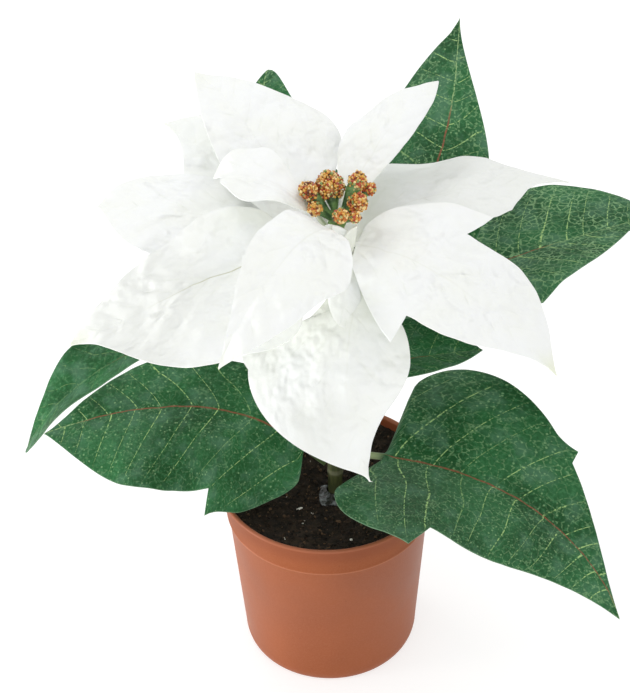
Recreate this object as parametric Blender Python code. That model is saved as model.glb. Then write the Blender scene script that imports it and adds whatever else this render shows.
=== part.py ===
"""A white poinsettia in a small terracotta-coloured nursery pot.

Metres, +Z up. The origin is the centre of the pot's flat underside, on the table.
The pot holds a bed of soil and the stem stands in a hole in the soil. Green leaves and
white bracts leave the stem on their own stalks, and a spray of beaded florets tops it.
"""

import math
from dataclasses import dataclass

import bmesh
import bpy
import numpy as np
from mathutils import Matrix, Vector

GAP = 0.0003  # clearance between neighbouring solids
MM = 0.001

# Pot
POT_HEIGHT = 0.108
POT_TOP_RADIUS = 0.057
POT_BAND_HEIGHT = 0.020
POT_BAND_LOWER_RADIUS = 0.0532
POT_BODY_TOP_RADIUS = 0.0527
POT_BODY_FOOT_RADIUS = 0.0465
POT_FOOT_HEIGHT = 0.008
POT_UNDERSIDE_RADIUS = 0.0430
POT_WALL = 0.0018
POT_LIP = 0.0026  # thickness of the wall at the rim
POT_FLOOR = 0.0025
POT_SIDES = 48
BAND_STEP = 0.0006  # height of the step below the collar band
FOOT_ARC_STEPS = 4
DRAIN_HOLES = 6
DRAIN_HOLE_RADIUS = 0.0035
DRAIN_RING_RADIUS = 0.028
DRAIN_HOLE_SIDES = 16

# Soil
SOIL_TOP = 0.0970  # level of the soil round the stem
SOIL_BANK = 0.006  # how much higher the soil lies at the wall
SOIL_RELIEF = 0.0012
SOIL_RINGS = 4
SOIL_SIDES = 32
SOIL_RIPPLES = ((170, 60, 0.0), (-90, 210, 1.3), (290, -120, 0.0))  # x and y rates, phase

# Stem, which leans a little towards +X
STEM_FOOT_Z = 0.030
STEM_TOP_Z = 0.269
STEM_FOOT_RADIUS = 0.0045
STEM_TOP_RADIUS = 0.0036
STEM_FOOT_X = 0.0025
STEM_TOP_X = 0.0076
STEM_SIDES = 12
STEM_STATIONS = 14
STEM_JOINT_SWELL = 0.0004  # how far the stem swells where a leaf joins it
STEM_JOINT_LENGTH = 0.004
STEM_HOLE_STATIONS = 5

# Collar of set glue round the stem's foot
GLUE_RADIUS = 0.0085
GLUE_LIFT = 0.0014  # the collar's underside above SOIL_TOP, clear of the soil's bumps
GLUE_HEIGHT = 0.0022
GLUE_SHARES = (1.0, 0.85, 0.6)  # the collar's radius from foot to top
GLUE_LOBES = ((3, 0.12, 1.0), (5, 0.08, 0.0))  # count, depth and phase of its wavy outline
GLUE_SIDES = 16

# Leaves and bracts
BLADE_THICKNESS = 0.0008
BLADE_KEEL = 0.0008  # how far the midrib stands out below a blade's base
BLADE_SIDE_RIBS = 3  # points from the midrib to each edge
BLADE_STATIONS = 12
BASE_SHARES = (0.004, 0.02, 0.05)  # places of the first ribs, close together
CLOSEST_RIBS = 0.012
STALK_STATIONS = 3
STALK_BLEND = 0.05  # share of the blade over which the round stalk flattens out
SWEEP_SHARE = 0.35  # share of the blade over which its ribs reach their full sweep
CLAW_BLEND = 0.1  # share of the blade past the claw over which the claw still widens it
TOOTH_BULGE = 1.5
WAVE_SHIFT = 1.7  # phase by which the waves of the right edge run ahead of the left one's

# Florets
FOOT_RADII = (0.0032, 0.0045, 0.0025)  # the foot that all stalks grow from, bottom to top
FOOT_HEIGHT = 0.006
FLORET_STALK_RADII = (0.0013, 0.0017)
FLORET_SIDES = 8
BEAD_RADIUS = 0.0013
BEAD_STEP = 0.0029  # distance between the beads of a head
HEAD_CORE = 0.8  # radius of a head's core, as a share of the head's
HEAD_CUT = 0.75  # distance from a head's centre to its flat base, as a share of its radius
HEAD_SEAT = 0.62  # radius of a stalk's end below its head, as a share of the head's
LOWEST_BEADS = -0.45  # beads that lie further back than this towards the stalk are left out
CUTTER_SIDES = 12


@dataclass
class Blade:
    """A leaf or bract on its stalk, with angles in degrees.

    Left and right are as seen from above with the stalk behind, and a place along the
    blade is a share of its length.
    """

    root_z: float
    heading: tuple  # compass angle of the midrib at base, middle and tip, from +X towards +Y
    stalk: float
    stalk_pitch: float
    pitch: tuple  # angle of the midrib above the horizon at base, middle and tip
    length: float
    width: tuple  # greatest half-width left and right, along the side ribs
    fullness: tuple = (0.6, 1.4, 1.4)  # swell at the base, then taper to the tip left and right
    sweep: tuple = (0, 0, 40)  # forward slant of the side ribs: base left, base right, further on
    roll: tuple = (0, 0)  # turn round the midrib at base and tip
    fold: float = 10  # rise of each half beside the midrib
    curl: float = 20  # turn of each half between midrib and edge
    teeth: tuple = ()  # each (side, place, rise, fall, height), side 0 left and 1 right
    wave: tuple = (1.2 * MM, 2.5, 0.0)  # height, count and phase of the waves along the edge
    claw: tuple = (0, 0)  # narrow first stretch: its share of the blade and half-width
    stalk_radius: float = 0.0012


BRACTS = {
    "bract_front": Blade(
        0.251, (-70, -94.7, -0.2), 8 * MM, 0, (6, -45, -70), 114.6 * MM, (31.3 * MM, 54.7 * MM),
        (0.34, 1.16, 1.48), (-26.7, 25, 14.4), fold=-5, curl=35.8,
        teeth=((1, 0.24, 0.15, 0.13, 14 * MM),), wave=(3.2 * MM, 2.5, -1.44), claw=(0.20, 13 * MM),
    ),
    "bract_front_left": Blade(
        0.265, (-106.7, -124.7, -125), 14 * MM, 65, (45, -10, -50), 112.3 * MM,
        (32.3 * MM, 21 * MM), (0.54, 1.03, 1.56), (35, -11.2, 16.7), (-15, 0),
        fold=12, curl=34.9, wave=(3.2 * MM, 2.5, -1.46),
    ),
    "bract_front_right": Blade(
        0.261, (-31.5, -38.9, -24.4), 5 * MM, 20, (15, -15, -45), 123.2 * MM,
        (36.1 * MM, 32.8 * MM), (0.88, 1.18, 1.7), (-23.6, -7.6, 31.4), (15, 0),
        fold=2.5, curl=12, wave=(0.3 * MM, 2.5, -2.2),
        teeth=((0, 0.241, 0.305, 0.019, 20.7 * MM), (1, 0.27, 0.172, 0.024, 17.8 * MM)),
    ),
    "bract_right": Blade(
        0.250, (50.9, 6.9, 11.4), 6 * MM, 20, (20, 7, -6), 118.1 * MM, (41.1 * MM, 40.9 * MM),
        (0.33, 1.26, 1.96), (-49.7, 0, 28.5), (-2, -4), fold=-1, curl=6,
        teeth=((1, 0.638, 0.454, 0.156, 8.7 * MM),), wave=(3.2 * MM, 2.5, -2.58),
        claw=(0.08, 7 * MM),
    ),
    "bract_back_right": Blade(
        0.262, (69.5, 54, 43.4), 10 * MM, 30, (35, 20, 5), 90.9 * MM, (25.9 * MM, 12.4 * MM),
        (1.04, 1.34, 0.95), (35, 33.7, 20), fold=-2, curl=35, wave=(1.6 * MM, 2.5, 0.43),
    ),
    "bract_back_left": Blade(
        0.256, (130, 114.5, 136.6), 10 * MM, 30, (22, 11, 10), 122.7 * MM, (26 * MM, 43 * MM),
        (0.49, 0.83, 1.22), (0, 35, 20), (0, 1), fold=14, curl=24.8,
        wave=(2.0 * MM, 2.5, -1.6),
    ),
    "bract_upper_left": Blade(
        0.267, (159.7, 155.2, 151.8), 8 * MM, 55, (52, 8, -35), 61.5 * MM,
        (27.9 * MM, 23.5 * MM), (1.4, 2.13, 0.6), (19.9, 56.8, 20.7), (5, 5),
        fold=16.3, curl=10.9, wave=(-2.8 * MM, 2.5, 0.02),
    ),
    "bract_left_back": Blade(
        0.251, (128.2, 130.6, 142.4), 12 * MM, 10, (4, 6, 12), 116.2 * MM, (39 * MM, 46 * MM),
        (0.85, 1.9, 1.09), (0, 0, 17.1), (-6, -2), fold=9, curl=8.6,
        wave=(3.2 * MM, 2.5, -0.94),
    ),
    "bract_left": Blade(
        0.254, (163.5, 160.3, 164.4), 12 * MM, 10, (14, 0, -10), 109 * MM, (39 * MM, 39 * MM),
        (0.65, 1.18, 0.94), (0, 8.7, 40.1), (-12, -4), fold=5.4, curl=27.7,
        wave=(-0.8 * MM, 2.5, 0.33),
    ),
    "bract_lower_left": Blade(
        0.256, (-147, -165.6, -182), 12 * MM, 20, (24, -18, -28), 130 * MM,
        (62.4 * MM, 42.1 * MM), (0.33, 1.47, 0.94), (24.8, 6.6, 42.8), (-12, -5),
        fold=6.9, curl=16.5, wave=(3.2 * MM, 2.5, 1.2),
    ),
}

LEAVES = {
    "leaf_back_right": Blade(
        0.220, (41, 74, 83.5), 25 * MM, 30, (26, 20, 15), 162.6 * MM, (38.7 * MM, 34.2 * MM),
        (0.33, 1.12, 1.65), (0, 0, 20), fold=0, curl=23.4,
        teeth=((0, 0.523, 0.35, 0.40, 9 * MM),), wave=(4.1 * MM, 2.5, -0.12),
    ),
    "leaf_right": Blade(
        0.190, (38.2, 26.8, 27), 30 * MM, 20, (5, 0, -5), 167.3 * MM, (66 * MM, 19.4 * MM),
        (0.5, 1.0, 0.71), (0, -20, 46), fold=12, curl=24,
        teeth=((1, 0.254, 0.182, 0.558, 32 * MM),), wave=(-2.8 * MM, 2.5, -0.72),
    ),
    "leaf_front_right": Blade(
        0.125, (-12, -34.5, -75), 20.5 * MM, 0, (0, -14, -25), 156 * MM, (70 * MM, 60 * MM),
        (0.43, 2.1, 1.0), (0, -37, 0), fold=15, curl=10,
        teeth=((0, 0.53, 0.075, 0.006, 6.3 * MM), (1, 0.27, 0.44, 0.02, 22.5 * MM)),
        wave=(8 * MM, 1, -1.5), stalk_radius=0.0018,
    ),
    "leaf_front_left": Blade(
        0.115, (156, 178, 192.5), 12.3 * MM, 30, (35, 0, -12), 144.3 * MM, (55.7 * MM, 33.3 * MM),
        (0.74, 1.1, 1.37), (-32, -30, 25.7), (-15, -20),
        teeth=((0, 0.232, 0.384, 0.014, 16.6 * MM),),
        wave=(-4.65 * MM, 2.5, 0.725), stalk_radius=0.0018,
    ),
    "leaf_left": Blade(
        0.200, (180, 200, 197), 45 * MM, 10, (5, -20, -65), 130.4 * MM, (15.8 * MM, 23.6 * MM),
        (0.9, 0.68, 1.5), (0, 0, 20), fold=20, curl=5, wave=(-2.8 * MM, 2.5, -0.7),
    ),
    "leaf_under_right": Blade(
        0.175, (14.8, 16.1, 17.9), 15 * MM, 10, (5, -5, -10), 59.8 * MM, (42 * MM, 19.5 * MM),
        (0.3, 1.25, 1.0), (35, 18.4, 42.1), fold=12.8, curl=18.3,
        wave=(-0.4 * MM, 2.5, 0.15),
    ),
    "leaf_back": Blade(
        0.209, (91.4, 115.7, 72), 25 * MM, 30, (26, 18, 17), 135 * MM, (25.1 * MM, 23.5 * MM),
        (0.44, 1.01, 0.62), (0, 0, 16.3), fold=7, curl=5, wave=(4.2 * MM, 2.5, 1.9),
    ),
}

# Each floret: centre of its beaded head and the head's radius
FLORETS = {
    "floret_back_left": (-5.8 * MM, 6.8 * MM, 0.2868, 4.5 * MM),
    "floret_back": (4.5 * MM, 11 * MM, 0.287, 6.6 * MM),
    "floret_back_right": (18 * MM, 9 * MM, 0.290, 4.3 * MM),
    "floret_right": (24 * MM, 8 * MM, 0.286, 3.0 * MM),
    "floret_middle_right": (18 * MM, 0 * MM, 0.284, 4.4 * MM),
    "floret_left": (-3.2 * MM, -1.0 * MM, 0.2818, 3.4 * MM),
    "floret_front": (9.2 * MM, -10 * MM, 0.2835, 3.7 * MM),
    "floret_front_right": (16.3 * MM, -9 * MM, 0.2815, 2.9 * MM),
}


def clear_scene():
    for obj in list(bpy.data.objects):
        bpy.data.objects.remove(obj)


def material(name, colour, roughness):
    made = bpy.data.materials.new(name)
    made.use_nodes = True
    shader = made.node_tree.nodes["Principled BSDF"]
    shader.inputs["Base Color"].default_value = (*colour, 1.0)
    shader.inputs["Roughness"].default_value = roughness
    shader.inputs["Metallic"].default_value = 0.0
    return made


def add_object(name, points, faces, finish):
    """One closed solid from points and faces, with its faces turned outwards."""
    mesh = bpy.data.meshes.new(name)
    mesh.from_pydata([tuple(point) for point in points], [], faces)
    solid = bmesh.new()
    solid.from_mesh(mesh)
    bmesh.ops.recalc_face_normals(solid, faces=solid.faces)
    solid.to_mesh(mesh)
    solid.free()
    mesh.materials.append(finish)
    obj = bpy.data.objects.new(name, mesh)
    bpy.context.scene.collection.objects.link(obj)
    return obj


def shade_round(obj, edge_angle=35):
    obj.data.shade_smooth()
    obj.data.set_sharp_from_angle(angle=math.radians(edge_angle))


def join_rings(rings, closed_start=True, closed_end=True):
    """Points and faces of a body that runs through rings of equally many points."""
    count = len(rings[0])
    points = [point for ring in rings for point in ring]
    faces = []
    for row in range(len(rings) - 1):
        for k in range(count):
            a = row * count + k
            b = row * count + (k + 1) % count
            faces.append((a, b, b + count, a + count))
    if closed_start:
        faces.append(tuple(reversed(range(count))))
    if closed_end:
        faces.append(tuple(range(len(points) - count, len(points))))
    return points, faces


def circle(radius, height, sides, centre=(0.0, 0.0)):
    """A level ring of points."""
    turns = [2 * math.pi * k / sides for k in range(sides)]
    x, y = centre
    return [(x + radius * math.cos(t), y + radius * math.sin(t), height) for t in turns]


def turned(name, profile, sides, finish):
    """A body turned round +Z from (radius, height) points that start and end on the axis."""
    rings = [circle(radius, height, sides) for radius, height in profile[1:-1]]
    points, faces = join_rings(rings, False, False)
    for (_, height), row, step in ((profile[0], 0, -1), (profile[-1], len(rings) - 1, 1)):
        centre = len(points)
        points.append((0.0, 0.0, height))
        for k in range(sides):
            rim = (row * sides + k, row * sides + (k + 1) % sides)
            faces.append((centre, *rim[::step]))
    return add_object(name, points, faces, finish)


def subtract(obj, cutter):
    """Cuts the cutter out of the object and removes the cutter."""
    cutter.hide_render = True
    cutter.display_type = "WIRE"
    cut = obj.modifiers.new("cut", "BOOLEAN")
    cut.operation = "DIFFERENCE"
    cut.object = cutter
    apply_modifiers(obj)
    bpy.data.objects.remove(cutter)


def apply_modifiers(obj):
    bpy.context.view_layer.update()
    graph = bpy.context.evaluated_depsgraph_get()
    finished = bpy.data.meshes.new_from_object(obj.evaluated_get(graph))
    obj.modifiers.clear()
    obj.data = finished


def unite(name, pieces):
    """Joins pieces that sink into each other into one body, named name."""
    first = pieces[0]
    others = bpy.data.collections.new(name + "_pieces")
    for piece in pieces[1:]:
        bpy.context.scene.collection.objects.unlink(piece)
        others.objects.link(piece)
    join = first.modifiers.new("join", "BOOLEAN")
    join.operation = "UNION"
    join.operand_type = "COLLECTION"
    join.collection = others
    apply_modifiers(first)
    for piece in pieces[1:]:
        bpy.data.objects.remove(piece)
    bpy.data.collections.remove(others)
    first.name = name
    return first


def three_values(values, share):
    """A smooth run through values at the base, middle and tip."""
    base, middle, tip = values
    at_base = (2 * share - 1) * (share - 1)
    at_middle = 4 * share * (1 - share)
    at_tip = share * (2 * share - 1)
    return base * at_base + middle * at_middle + tip * at_tip


def ease(value):
    value = np.clip(value, 0, 1)
    return value * value * (3 - 2 * value)


def stem_share(height):
    return (height - STEM_FOOT_Z) / (STEM_TOP_Z - STEM_FOOT_Z)


def stem_x(height):
    return STEM_FOOT_X + (STEM_TOP_X - STEM_FOOT_X) * stem_share(height)


def stem_radius(height):
    return STEM_FOOT_RADIUS + (STEM_TOP_RADIUS - STEM_FOOT_RADIUS) * stem_share(height)


def stem_rings(low, high, stations, extra_radius):
    """Rings of the stem between two heights, swollen a little below each leaf."""
    joints = [leaf.root_z for leaf in LEAVES.values()]
    rings = []
    for height in np.linspace(low, high, stations):
        swells = [math.exp(-(((height - joint) / STEM_JOINT_LENGTH) ** 2)) for joint in joints]
        swell = STEM_JOINT_SWELL * (min(sum(swells), 1) - 1)
        radius = stem_radius(height) + extra_radius + swell
        rings.append(circle(radius, height, STEM_SIDES, (stem_x(height), 0.0)))
    return rings


class Midrib:
    """The line that a blade follows from the stem, with the blade's own directions along it."""

    STEPS = 240

    def __init__(self, blade):
        u = np.linspace(-blade.stalk, blade.length, self.STEPS)
        share = np.clip(u / blade.length, 0, 1)
        along_stalk = ease((u + blade.stalk) / blade.stalk)
        on_stalk = blade.stalk_pitch + (blade.pitch[0] - blade.stalk_pitch) * along_stalk
        pitch = np.radians(np.where(u < 0, on_stalk, three_values(blade.pitch, share)))
        heading = np.radians(three_values(blade.heading, share))
        roll = np.radians(blade.roll[0] + (blade.roll[1] - blade.roll[0]) * share) * along_stalk
        forward = np.stack(
            [np.cos(pitch) * np.cos(heading), np.cos(pitch) * np.sin(heading), np.sin(pitch)], 1
        )
        level = np.stack([-np.sin(heading), np.cos(heading), 0 * heading], 1)
        normal = np.cross(forward, level)
        turn_cos, turn_sin = np.cos(roll)[:, None], np.sin(roll)[:, None]
        self.u = u
        self.forward = forward
        self.left = level * turn_cos + normal * turn_sin
        self.up = normal * turn_cos - level * turn_sin
        steps = np.diff(u)[:, None] * (forward[1:] + forward[:-1]) / 2
        self.points = np.vstack([self.root(blade), self.root(blade) + np.cumsum(steps, 0)])

    @staticmethod
    def root(blade):
        heading = math.radians(blade.heading[0])
        tilt = abs(math.sin(math.radians(blade.stalk_pitch)))
        reach = stem_radius(blade.root_z) + GAP + blade.stalk_radius * tilt
        out = (math.cos(heading), math.sin(heading))
        return np.array([stem_x(blade.root_z) + reach * out[0], reach * out[1], blade.root_z])

    def at(self, values, u):
        return np.array([np.interp(u, self.u, values[:, axis]) for axis in range(3)])


def half_width(blade, share, side):
    """Length of the side rib that leaves the midrib at this share of the blade."""
    swell, *tapers = blade.fullness
    taper = tapers[side]
    widest = swell / (swell + taper)
    claw_share, claw_width = blade.claw
    along = max(share - claw_share, 0) / (1 - claw_share)
    peak = widest**swell * (1 - widest) ** taper
    width = blade.width[side] * along**swell * max(1 - along, 0) ** taper / peak
    if claw_share > share - CLAW_BLEND:
        width = max(width, claw_width * float(ease(share / STALK_BLEND)))
    for tooth_side, place, rise, fall, height in blade.teeth:
        if tooth_side != side:
            continue
        if place - rise < share <= place:
            width += height * (1 - (place - share) / rise) ** TOOTH_BULGE
        elif place < share < place + fall:
            width += height * (1 - (share - place) / fall)
    return width


def blade_point(blade, midrib, share, across, lift=0.0):
    """A point of the blade: across runs from 1 at the left edge to -1 at the right one."""
    side = 0 if across >= 0 else 1
    rib = half_width(blade, share, side) * abs(across)
    base_sweep, sweep = blade.sweep[side], blade.sweep[2]
    slant = math.radians(base_sweep + (sweep - base_sweep) * float(ease(share / SWEEP_SHARE)))
    u = share * blade.length + math.sin(slant) * rib
    out = math.cos(slant) * rib
    widest = max(blade.width)
    fold = math.radians(blade.fold)
    bend = math.radians(blade.curl) / widest
    y = (math.sin(fold) - math.sin(fold - bend * out)) / bend
    z = (math.cos(fold - bend * out) - math.cos(fold)) / bend
    height, count, phase = blade.wave
    turn = 2 * math.pi * count * u / blade.length + phase + WAVE_SHIFT * side
    z += height * (out / widest) ** 2 * math.sin(turn) + lift
    on_line = min(max(u, -blade.stalk), blade.length)
    place = midrib.at(midrib.points, on_line) + (u - on_line) * midrib.at(midrib.forward, on_line)
    left = midrib.at(midrib.left, on_line)
    up = midrib.at(midrib.up, on_line)
    return place + (y if side == 0 else -y) * left + z * up


def blade_shares(blade):
    """Shares of the length at which the blade gets a rib: close at the base, and at every tooth."""
    shares = [*BASE_SHARES, *np.linspace(0.10, 0.97, BLADE_STATIONS)]
    for _, place, rise, fall, _ in blade.teeth:
        shares += [place - rise / 2, place, place + fall]
    if blade.claw[0] > 0:
        shares += [blade.claw[0], blade.claw[0] + BASE_SHARES[1]]
    shares.sort()
    kept = [shares[0]]
    corners = {place for _, place, _, _, _ in blade.teeth}
    corners |= {place + fall for _, place, _, fall, _ in blade.teeth}
    for share in shares[1:]:
        if share - kept[-1] > CLOSEST_RIBS or share in corners:
            kept.append(share)
    return kept


def add_blade(name, blade, finish):
    """A leaf or bract as one thin arched solid that starts as its round stalk."""
    midrib = Midrib(blade)
    ribs = BLADE_SIDE_RIBS
    count = 2 * ribs + 1
    across = [1 - k / ribs for k in range(count)]
    stalk_places = [-blade.stalk * (1 - k / STALK_STATIONS) for k in range(STALK_STATIONS)]
    rings = [stalk_ring(blade, midrib, u, count) for u in stalk_places]
    for share in blade_shares(blade):
        keel = BLADE_KEEL * (1 - share)
        half = BLADE_THICKNESS / 2
        top = [blade_point(blade, midrib, share, a, half) for a in across]
        low = [blade_point(blade, midrib, share, a, -half - keel * (a == 0)) for a in across]
        flat = top + low[::-1]
        blend = float(ease(share / STALK_BLEND))
        if blend < 1:
            round_ring = stalk_ring(blade, midrib, share * blade.length, count)
            flat = [(1 - blend) * r + blend * f for r, f in zip(round_ring, flat)]
        rings.append(flat)
    points, faces = join_rings(rings, True, False)
    tip = len(points)
    points.append(blade_point(blade, midrib, 1.0, 0, 0.0))
    last = tip - 2 * count
    for k in range(2 * count):
        faces.append((last + k, last + (k + 1) % (2 * count), tip))
    return add_object(name, points, split_alike(faces, count), finish)


def split_alike(faces, count):
    """Splits each four-sided face so that a blade's upper and lower side run parallel."""
    ring = 2 * count
    split = []
    for face in faces:
        if len(face) != 4:
            split.append(face)
            continue
        a, b, c, d = face
        k = a % ring
        on_left = k < count // 2 or k >= ring - 1 - count // 2
        on_top = k < count - 1
        if on_top == on_left:
            split += [(a, b, c), (a, c, d)]
        else:
            split += [(a, b, d), (b, c, d)]
    return split


def stalk_ring(blade, midrib, u, count):
    """A round ring with the points of a blade's ring: upper points first, left to right, then lower."""
    centre = midrib.at(midrib.points, u)
    left, up = midrib.at(midrib.left, u), midrib.at(midrib.up, u)
    ring = []
    for k in range(2 * count):
        angle = math.pi * (k + 0.5) / count
        ring.append(centre + blade.stalk_radius * (math.cos(angle) * left + math.sin(angle) * up))
    return ring


def add_pot(finish):
    band_foot = POT_HEIGHT - POT_BAND_HEIGHT
    foot_width = POT_BODY_FOOT_RADIUS - POT_UNDERSIDE_RADIUS
    profile = [(0.0, 0.0)]
    for k in range(FOOT_ARC_STEPS + 1):
        turn = math.pi / 2 * k / FOOT_ARC_STEPS
        radius = POT_UNDERSIDE_RADIUS + foot_width * math.sin(turn)
        profile.append((radius, POT_FOOT_HEIGHT * (1 - math.cos(turn))))
    lip = POT_LIP / 2
    profile += [
        (POT_BODY_TOP_RADIUS, band_foot),
        (POT_BAND_LOWER_RADIUS, band_foot + BAND_STEP),
        (POT_TOP_RADIUS, POT_HEIGHT - lip),
        (POT_TOP_RADIUS - lip, POT_HEIGHT),
        (POT_TOP_RADIUS - POT_LIP, POT_HEIGHT - lip),
        (POT_BAND_LOWER_RADIUS - POT_WALL, band_foot + POT_WALL),
        (POT_BODY_TOP_RADIUS - POT_WALL, band_foot),
        (POT_BODY_FOOT_RADIUS - POT_WALL, POT_FOOT_HEIGHT),
        (POT_UNDERSIDE_RADIUS, POT_FLOOR),
        (0.0, POT_FLOOR),
    ]
    pot = turned("pot", profile, POT_SIDES, finish)
    subtract(pot, drain_holes(finish))
    shade_round(pot)
    return pot


def drain_holes(finish):
    """The rods that the pot's drain holes are cut by, as one mesh."""
    points, faces = [], []
    for k in range(DRAIN_HOLES):
        angle = 2 * math.pi * (k + 0.5) / DRAIN_HOLES
        centre = (DRAIN_RING_RADIUS * math.cos(angle), DRAIN_RING_RADIUS * math.sin(angle))
        low = circle(DRAIN_HOLE_RADIUS, -POT_FLOOR, DRAIN_HOLE_SIDES, centre)
        high = circle(DRAIN_HOLE_RADIUS, 2 * POT_FLOOR, DRAIN_HOLE_SIDES, centre)
        rod_points, rod_faces = join_rings([low, high])
        faces += [tuple(len(points) + corner for corner in face) for face in rod_faces]
        points += rod_points
    return add_object("drain_holes", points, faces, finish)


def soil_radius(height):
    """Inner radius of the pot at this height, less the clearance."""
    band_foot = POT_HEIGHT - POT_BAND_HEIGHT
    lip_foot = POT_HEIGHT - POT_LIP / 2
    heights = [POT_FLOOR, POT_FOOT_HEIGHT, band_foot, band_foot + POT_WALL, lip_foot]
    radii = [
        POT_UNDERSIDE_RADIUS,
        POT_BODY_FOOT_RADIUS - POT_WALL,
        POT_BODY_TOP_RADIUS - POT_WALL,
        POT_BAND_LOWER_RADIUS - POT_WALL,
        POT_TOP_RADIUS - POT_LIP,
    ]
    return float(np.interp(height, heights, radii)) - GAP


def soil_height(x, y):
    """The soil's uneven surface: it banks up to the wall, where its ripples die out."""
    reach = math.hypot(x, y) / soil_radius(SOIL_TOP + SOIL_BANK)
    ripples = [math.sin(a * x + b * y + phase) for a, b, phase in SOIL_RIPPLES]
    level = SOIL_TOP + SOIL_BANK * reach**2
    return level + SOIL_RELIEF * sum(ripples) / len(ripples) * max(1 - reach**4, 0)


def stem_hole(finish):
    """The body that the stem's hole in the soil is cut by."""
    top = POT_HEIGHT + GLUE_HEIGHT
    extra_radius = GAP + STEM_JOINT_SWELL
    rings = stem_rings(STEM_FOOT_Z - GAP, top, STEM_HOLE_STATIONS, extra_radius)
    return add_object("stem_hole", *join_rings(rings), finish)


def add_soil(finish):
    # The soil's corners lie within the flat sides of the pot's wall
    within = math.cos(math.pi / POT_SIDES)
    floor = POT_FLOOR + GAP
    band_foot = POT_HEIGHT - POT_BAND_HEIGHT
    rings = [circle((POT_UNDERSIDE_RADIUS - 2 * GAP) * within, floor, SOIL_SIDES)]
    for height in (POT_FOOT_HEIGHT, band_foot, band_foot + POT_WALL):
        rings.append(circle(soil_radius(height) * within, height, SOIL_SIDES))
    for k in range(SOIL_RINGS):
        radius = soil_radius(SOIL_TOP + SOIL_BANK) * within * (1 - k / SOIL_RINGS)
        ring = circle(radius, 0.0, SOIL_SIDES)
        rings.append([(x, y, soil_height(x, y)) for x, y, _ in ring])
    points, faces = join_rings(rings, True, False)
    centre = len(points)
    points.append((0.0, 0.0, soil_height(0, 0)))
    last = centre - SOIL_SIDES
    faces += [(last + k, last + (k + 1) % SOIL_SIDES, centre) for k in range(SOIL_SIDES)]
    soil = add_object("soil", points, faces, finish)
    subtract(soil, stem_hole(finish))
    return soil


def add_glue(finish):
    """A low collar of set glue that holds the stem's foot on the soil."""
    low = SOIL_TOP + GLUE_LIFT
    centre_x = stem_x(low)
    rings = []
    for share in GLUE_SHARES:
        height = low + GLUE_HEIGHT * (1 - share) / (1 - GLUE_SHARES[-1])
        ring = []
        for k in range(GLUE_SIDES):
            angle = 2 * math.pi * k / GLUE_SIDES
            lobes = [depth * math.sin(count * angle + phase) for count, depth, phase in GLUE_LOBES]
            radius = GLUE_RADIUS * share * (1 + sum(lobes))
            ring.append((centre_x + radius * math.cos(angle), radius * math.sin(angle), height))
        rings.append(ring)
    glue = add_object("glue_collar", *join_rings(rings), finish)
    subtract(glue, stem_hole(finish))
    return glue


def add_stem(finish):
    points, faces = join_rings(stem_rings(STEM_FOOT_Z, STEM_TOP_Z, STEM_STATIONS, 0.0))
    stem = add_object("stem", points, faces, finish)
    shade_round(stem, 50)
    return stem


def tube(name, start, end, radii, sides, finish):
    """A straight tapering rod from start to end."""
    start, end = Vector(start), Vector(end)
    turn = (end - start).to_track_quat("Z", "Y")
    rings = []
    for k, radius in enumerate(radii):
        centre = start.lerp(end, k / (len(radii) - 1))
        flat = circle(radius, 0.0, sides)
        rings.append([tuple(centre + turn @ Vector(corner)) for corner in flat])
    return add_object(name, *join_rings(rings), finish)


def floret_foot():
    """The point on top of the stem that the florets' foot stands on."""
    return Vector((STEM_TOP_X, 0.0, STEM_TOP_Z + GAP))


def floret_start():
    """The point in the middle of the foot that all floret stalks start from."""
    return floret_foot() + Vector((0, 0, FOOT_HEIGHT / 2))


def add_floret_stalks(finish):
    """The green stalks of the florets, which grow from one foot on top of the stem."""
    foot = floret_foot()
    top = foot + Vector((0, 0, FOOT_HEIGHT))
    pieces = [tube("foot", foot, top, FOOT_RADII, FLORET_SIDES, finish)]
    start = floret_start()
    for name, (x, y, z, radius) in FLORETS.items():
        head = Vector((x, y, z))
        way = (head - start).normalized()
        end = head - way * (radius * HEAD_CUT + GAP)
        radii = (*FLORET_STALK_RADII, radius * HEAD_SEAT)
        pieces.append(tube(name + "_stalk", start, end, radii, FLORET_SIDES, finish))
    return unite("floret_stalks", pieces)


def bead_places(radius):
    """Evenly spread directions on a ball, about one bead step apart."""
    count = max(6, round(4 * math.pi * (radius / BEAD_STEP) ** 2))
    golden = math.pi * (3 - math.sqrt(5))
    for k in range(count):
        height = 1 - 2 * (k + 0.5) / count
        ring = math.sqrt(1 - height * height)
        yield Vector((ring * math.cos(golden * k), ring * math.sin(golden * k), height))


def ball(name, centre, radius, subdivisions, finish):
    mesh = bpy.data.meshes.new(name)
    solid = bmesh.new()
    bmesh.ops.create_icosphere(solid, subdivisions=subdivisions, radius=radius)
    solid.to_mesh(mesh)
    solid.free()
    mesh.transform(Matrix.Translation(centre))
    mesh.materials.append(finish)
    obj = bpy.data.objects.new(name, mesh)
    bpy.context.scene.collection.objects.link(obj)
    return obj


def add_floret_head(name, floret, finish):
    """A head of beads on a small core, flat where it sits on its stalk."""
    x, y, z, radius = floret
    centre = Vector((x, y, z))
    way = (centre - floret_start()).normalized()
    pieces = [ball(name, centre, radius * HEAD_CORE, 2, finish)]
    for direction in bead_places(radius - BEAD_RADIUS):
        if direction.dot(way) >= LOWEST_BEADS:
            place = centre + direction * (radius - BEAD_RADIUS)
            pieces.append(ball("bead", place, BEAD_RADIUS, 1, finish))
    head = unite(name, pieces)
    cut_from = centre - way * radius * 2
    cut_to = centre - way * radius * HEAD_CUT
    subtract(head, tube("cut", cut_from, cut_to, (radius * 2, radius * 2), CUTTER_SIDES, finish))
    return head


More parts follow.
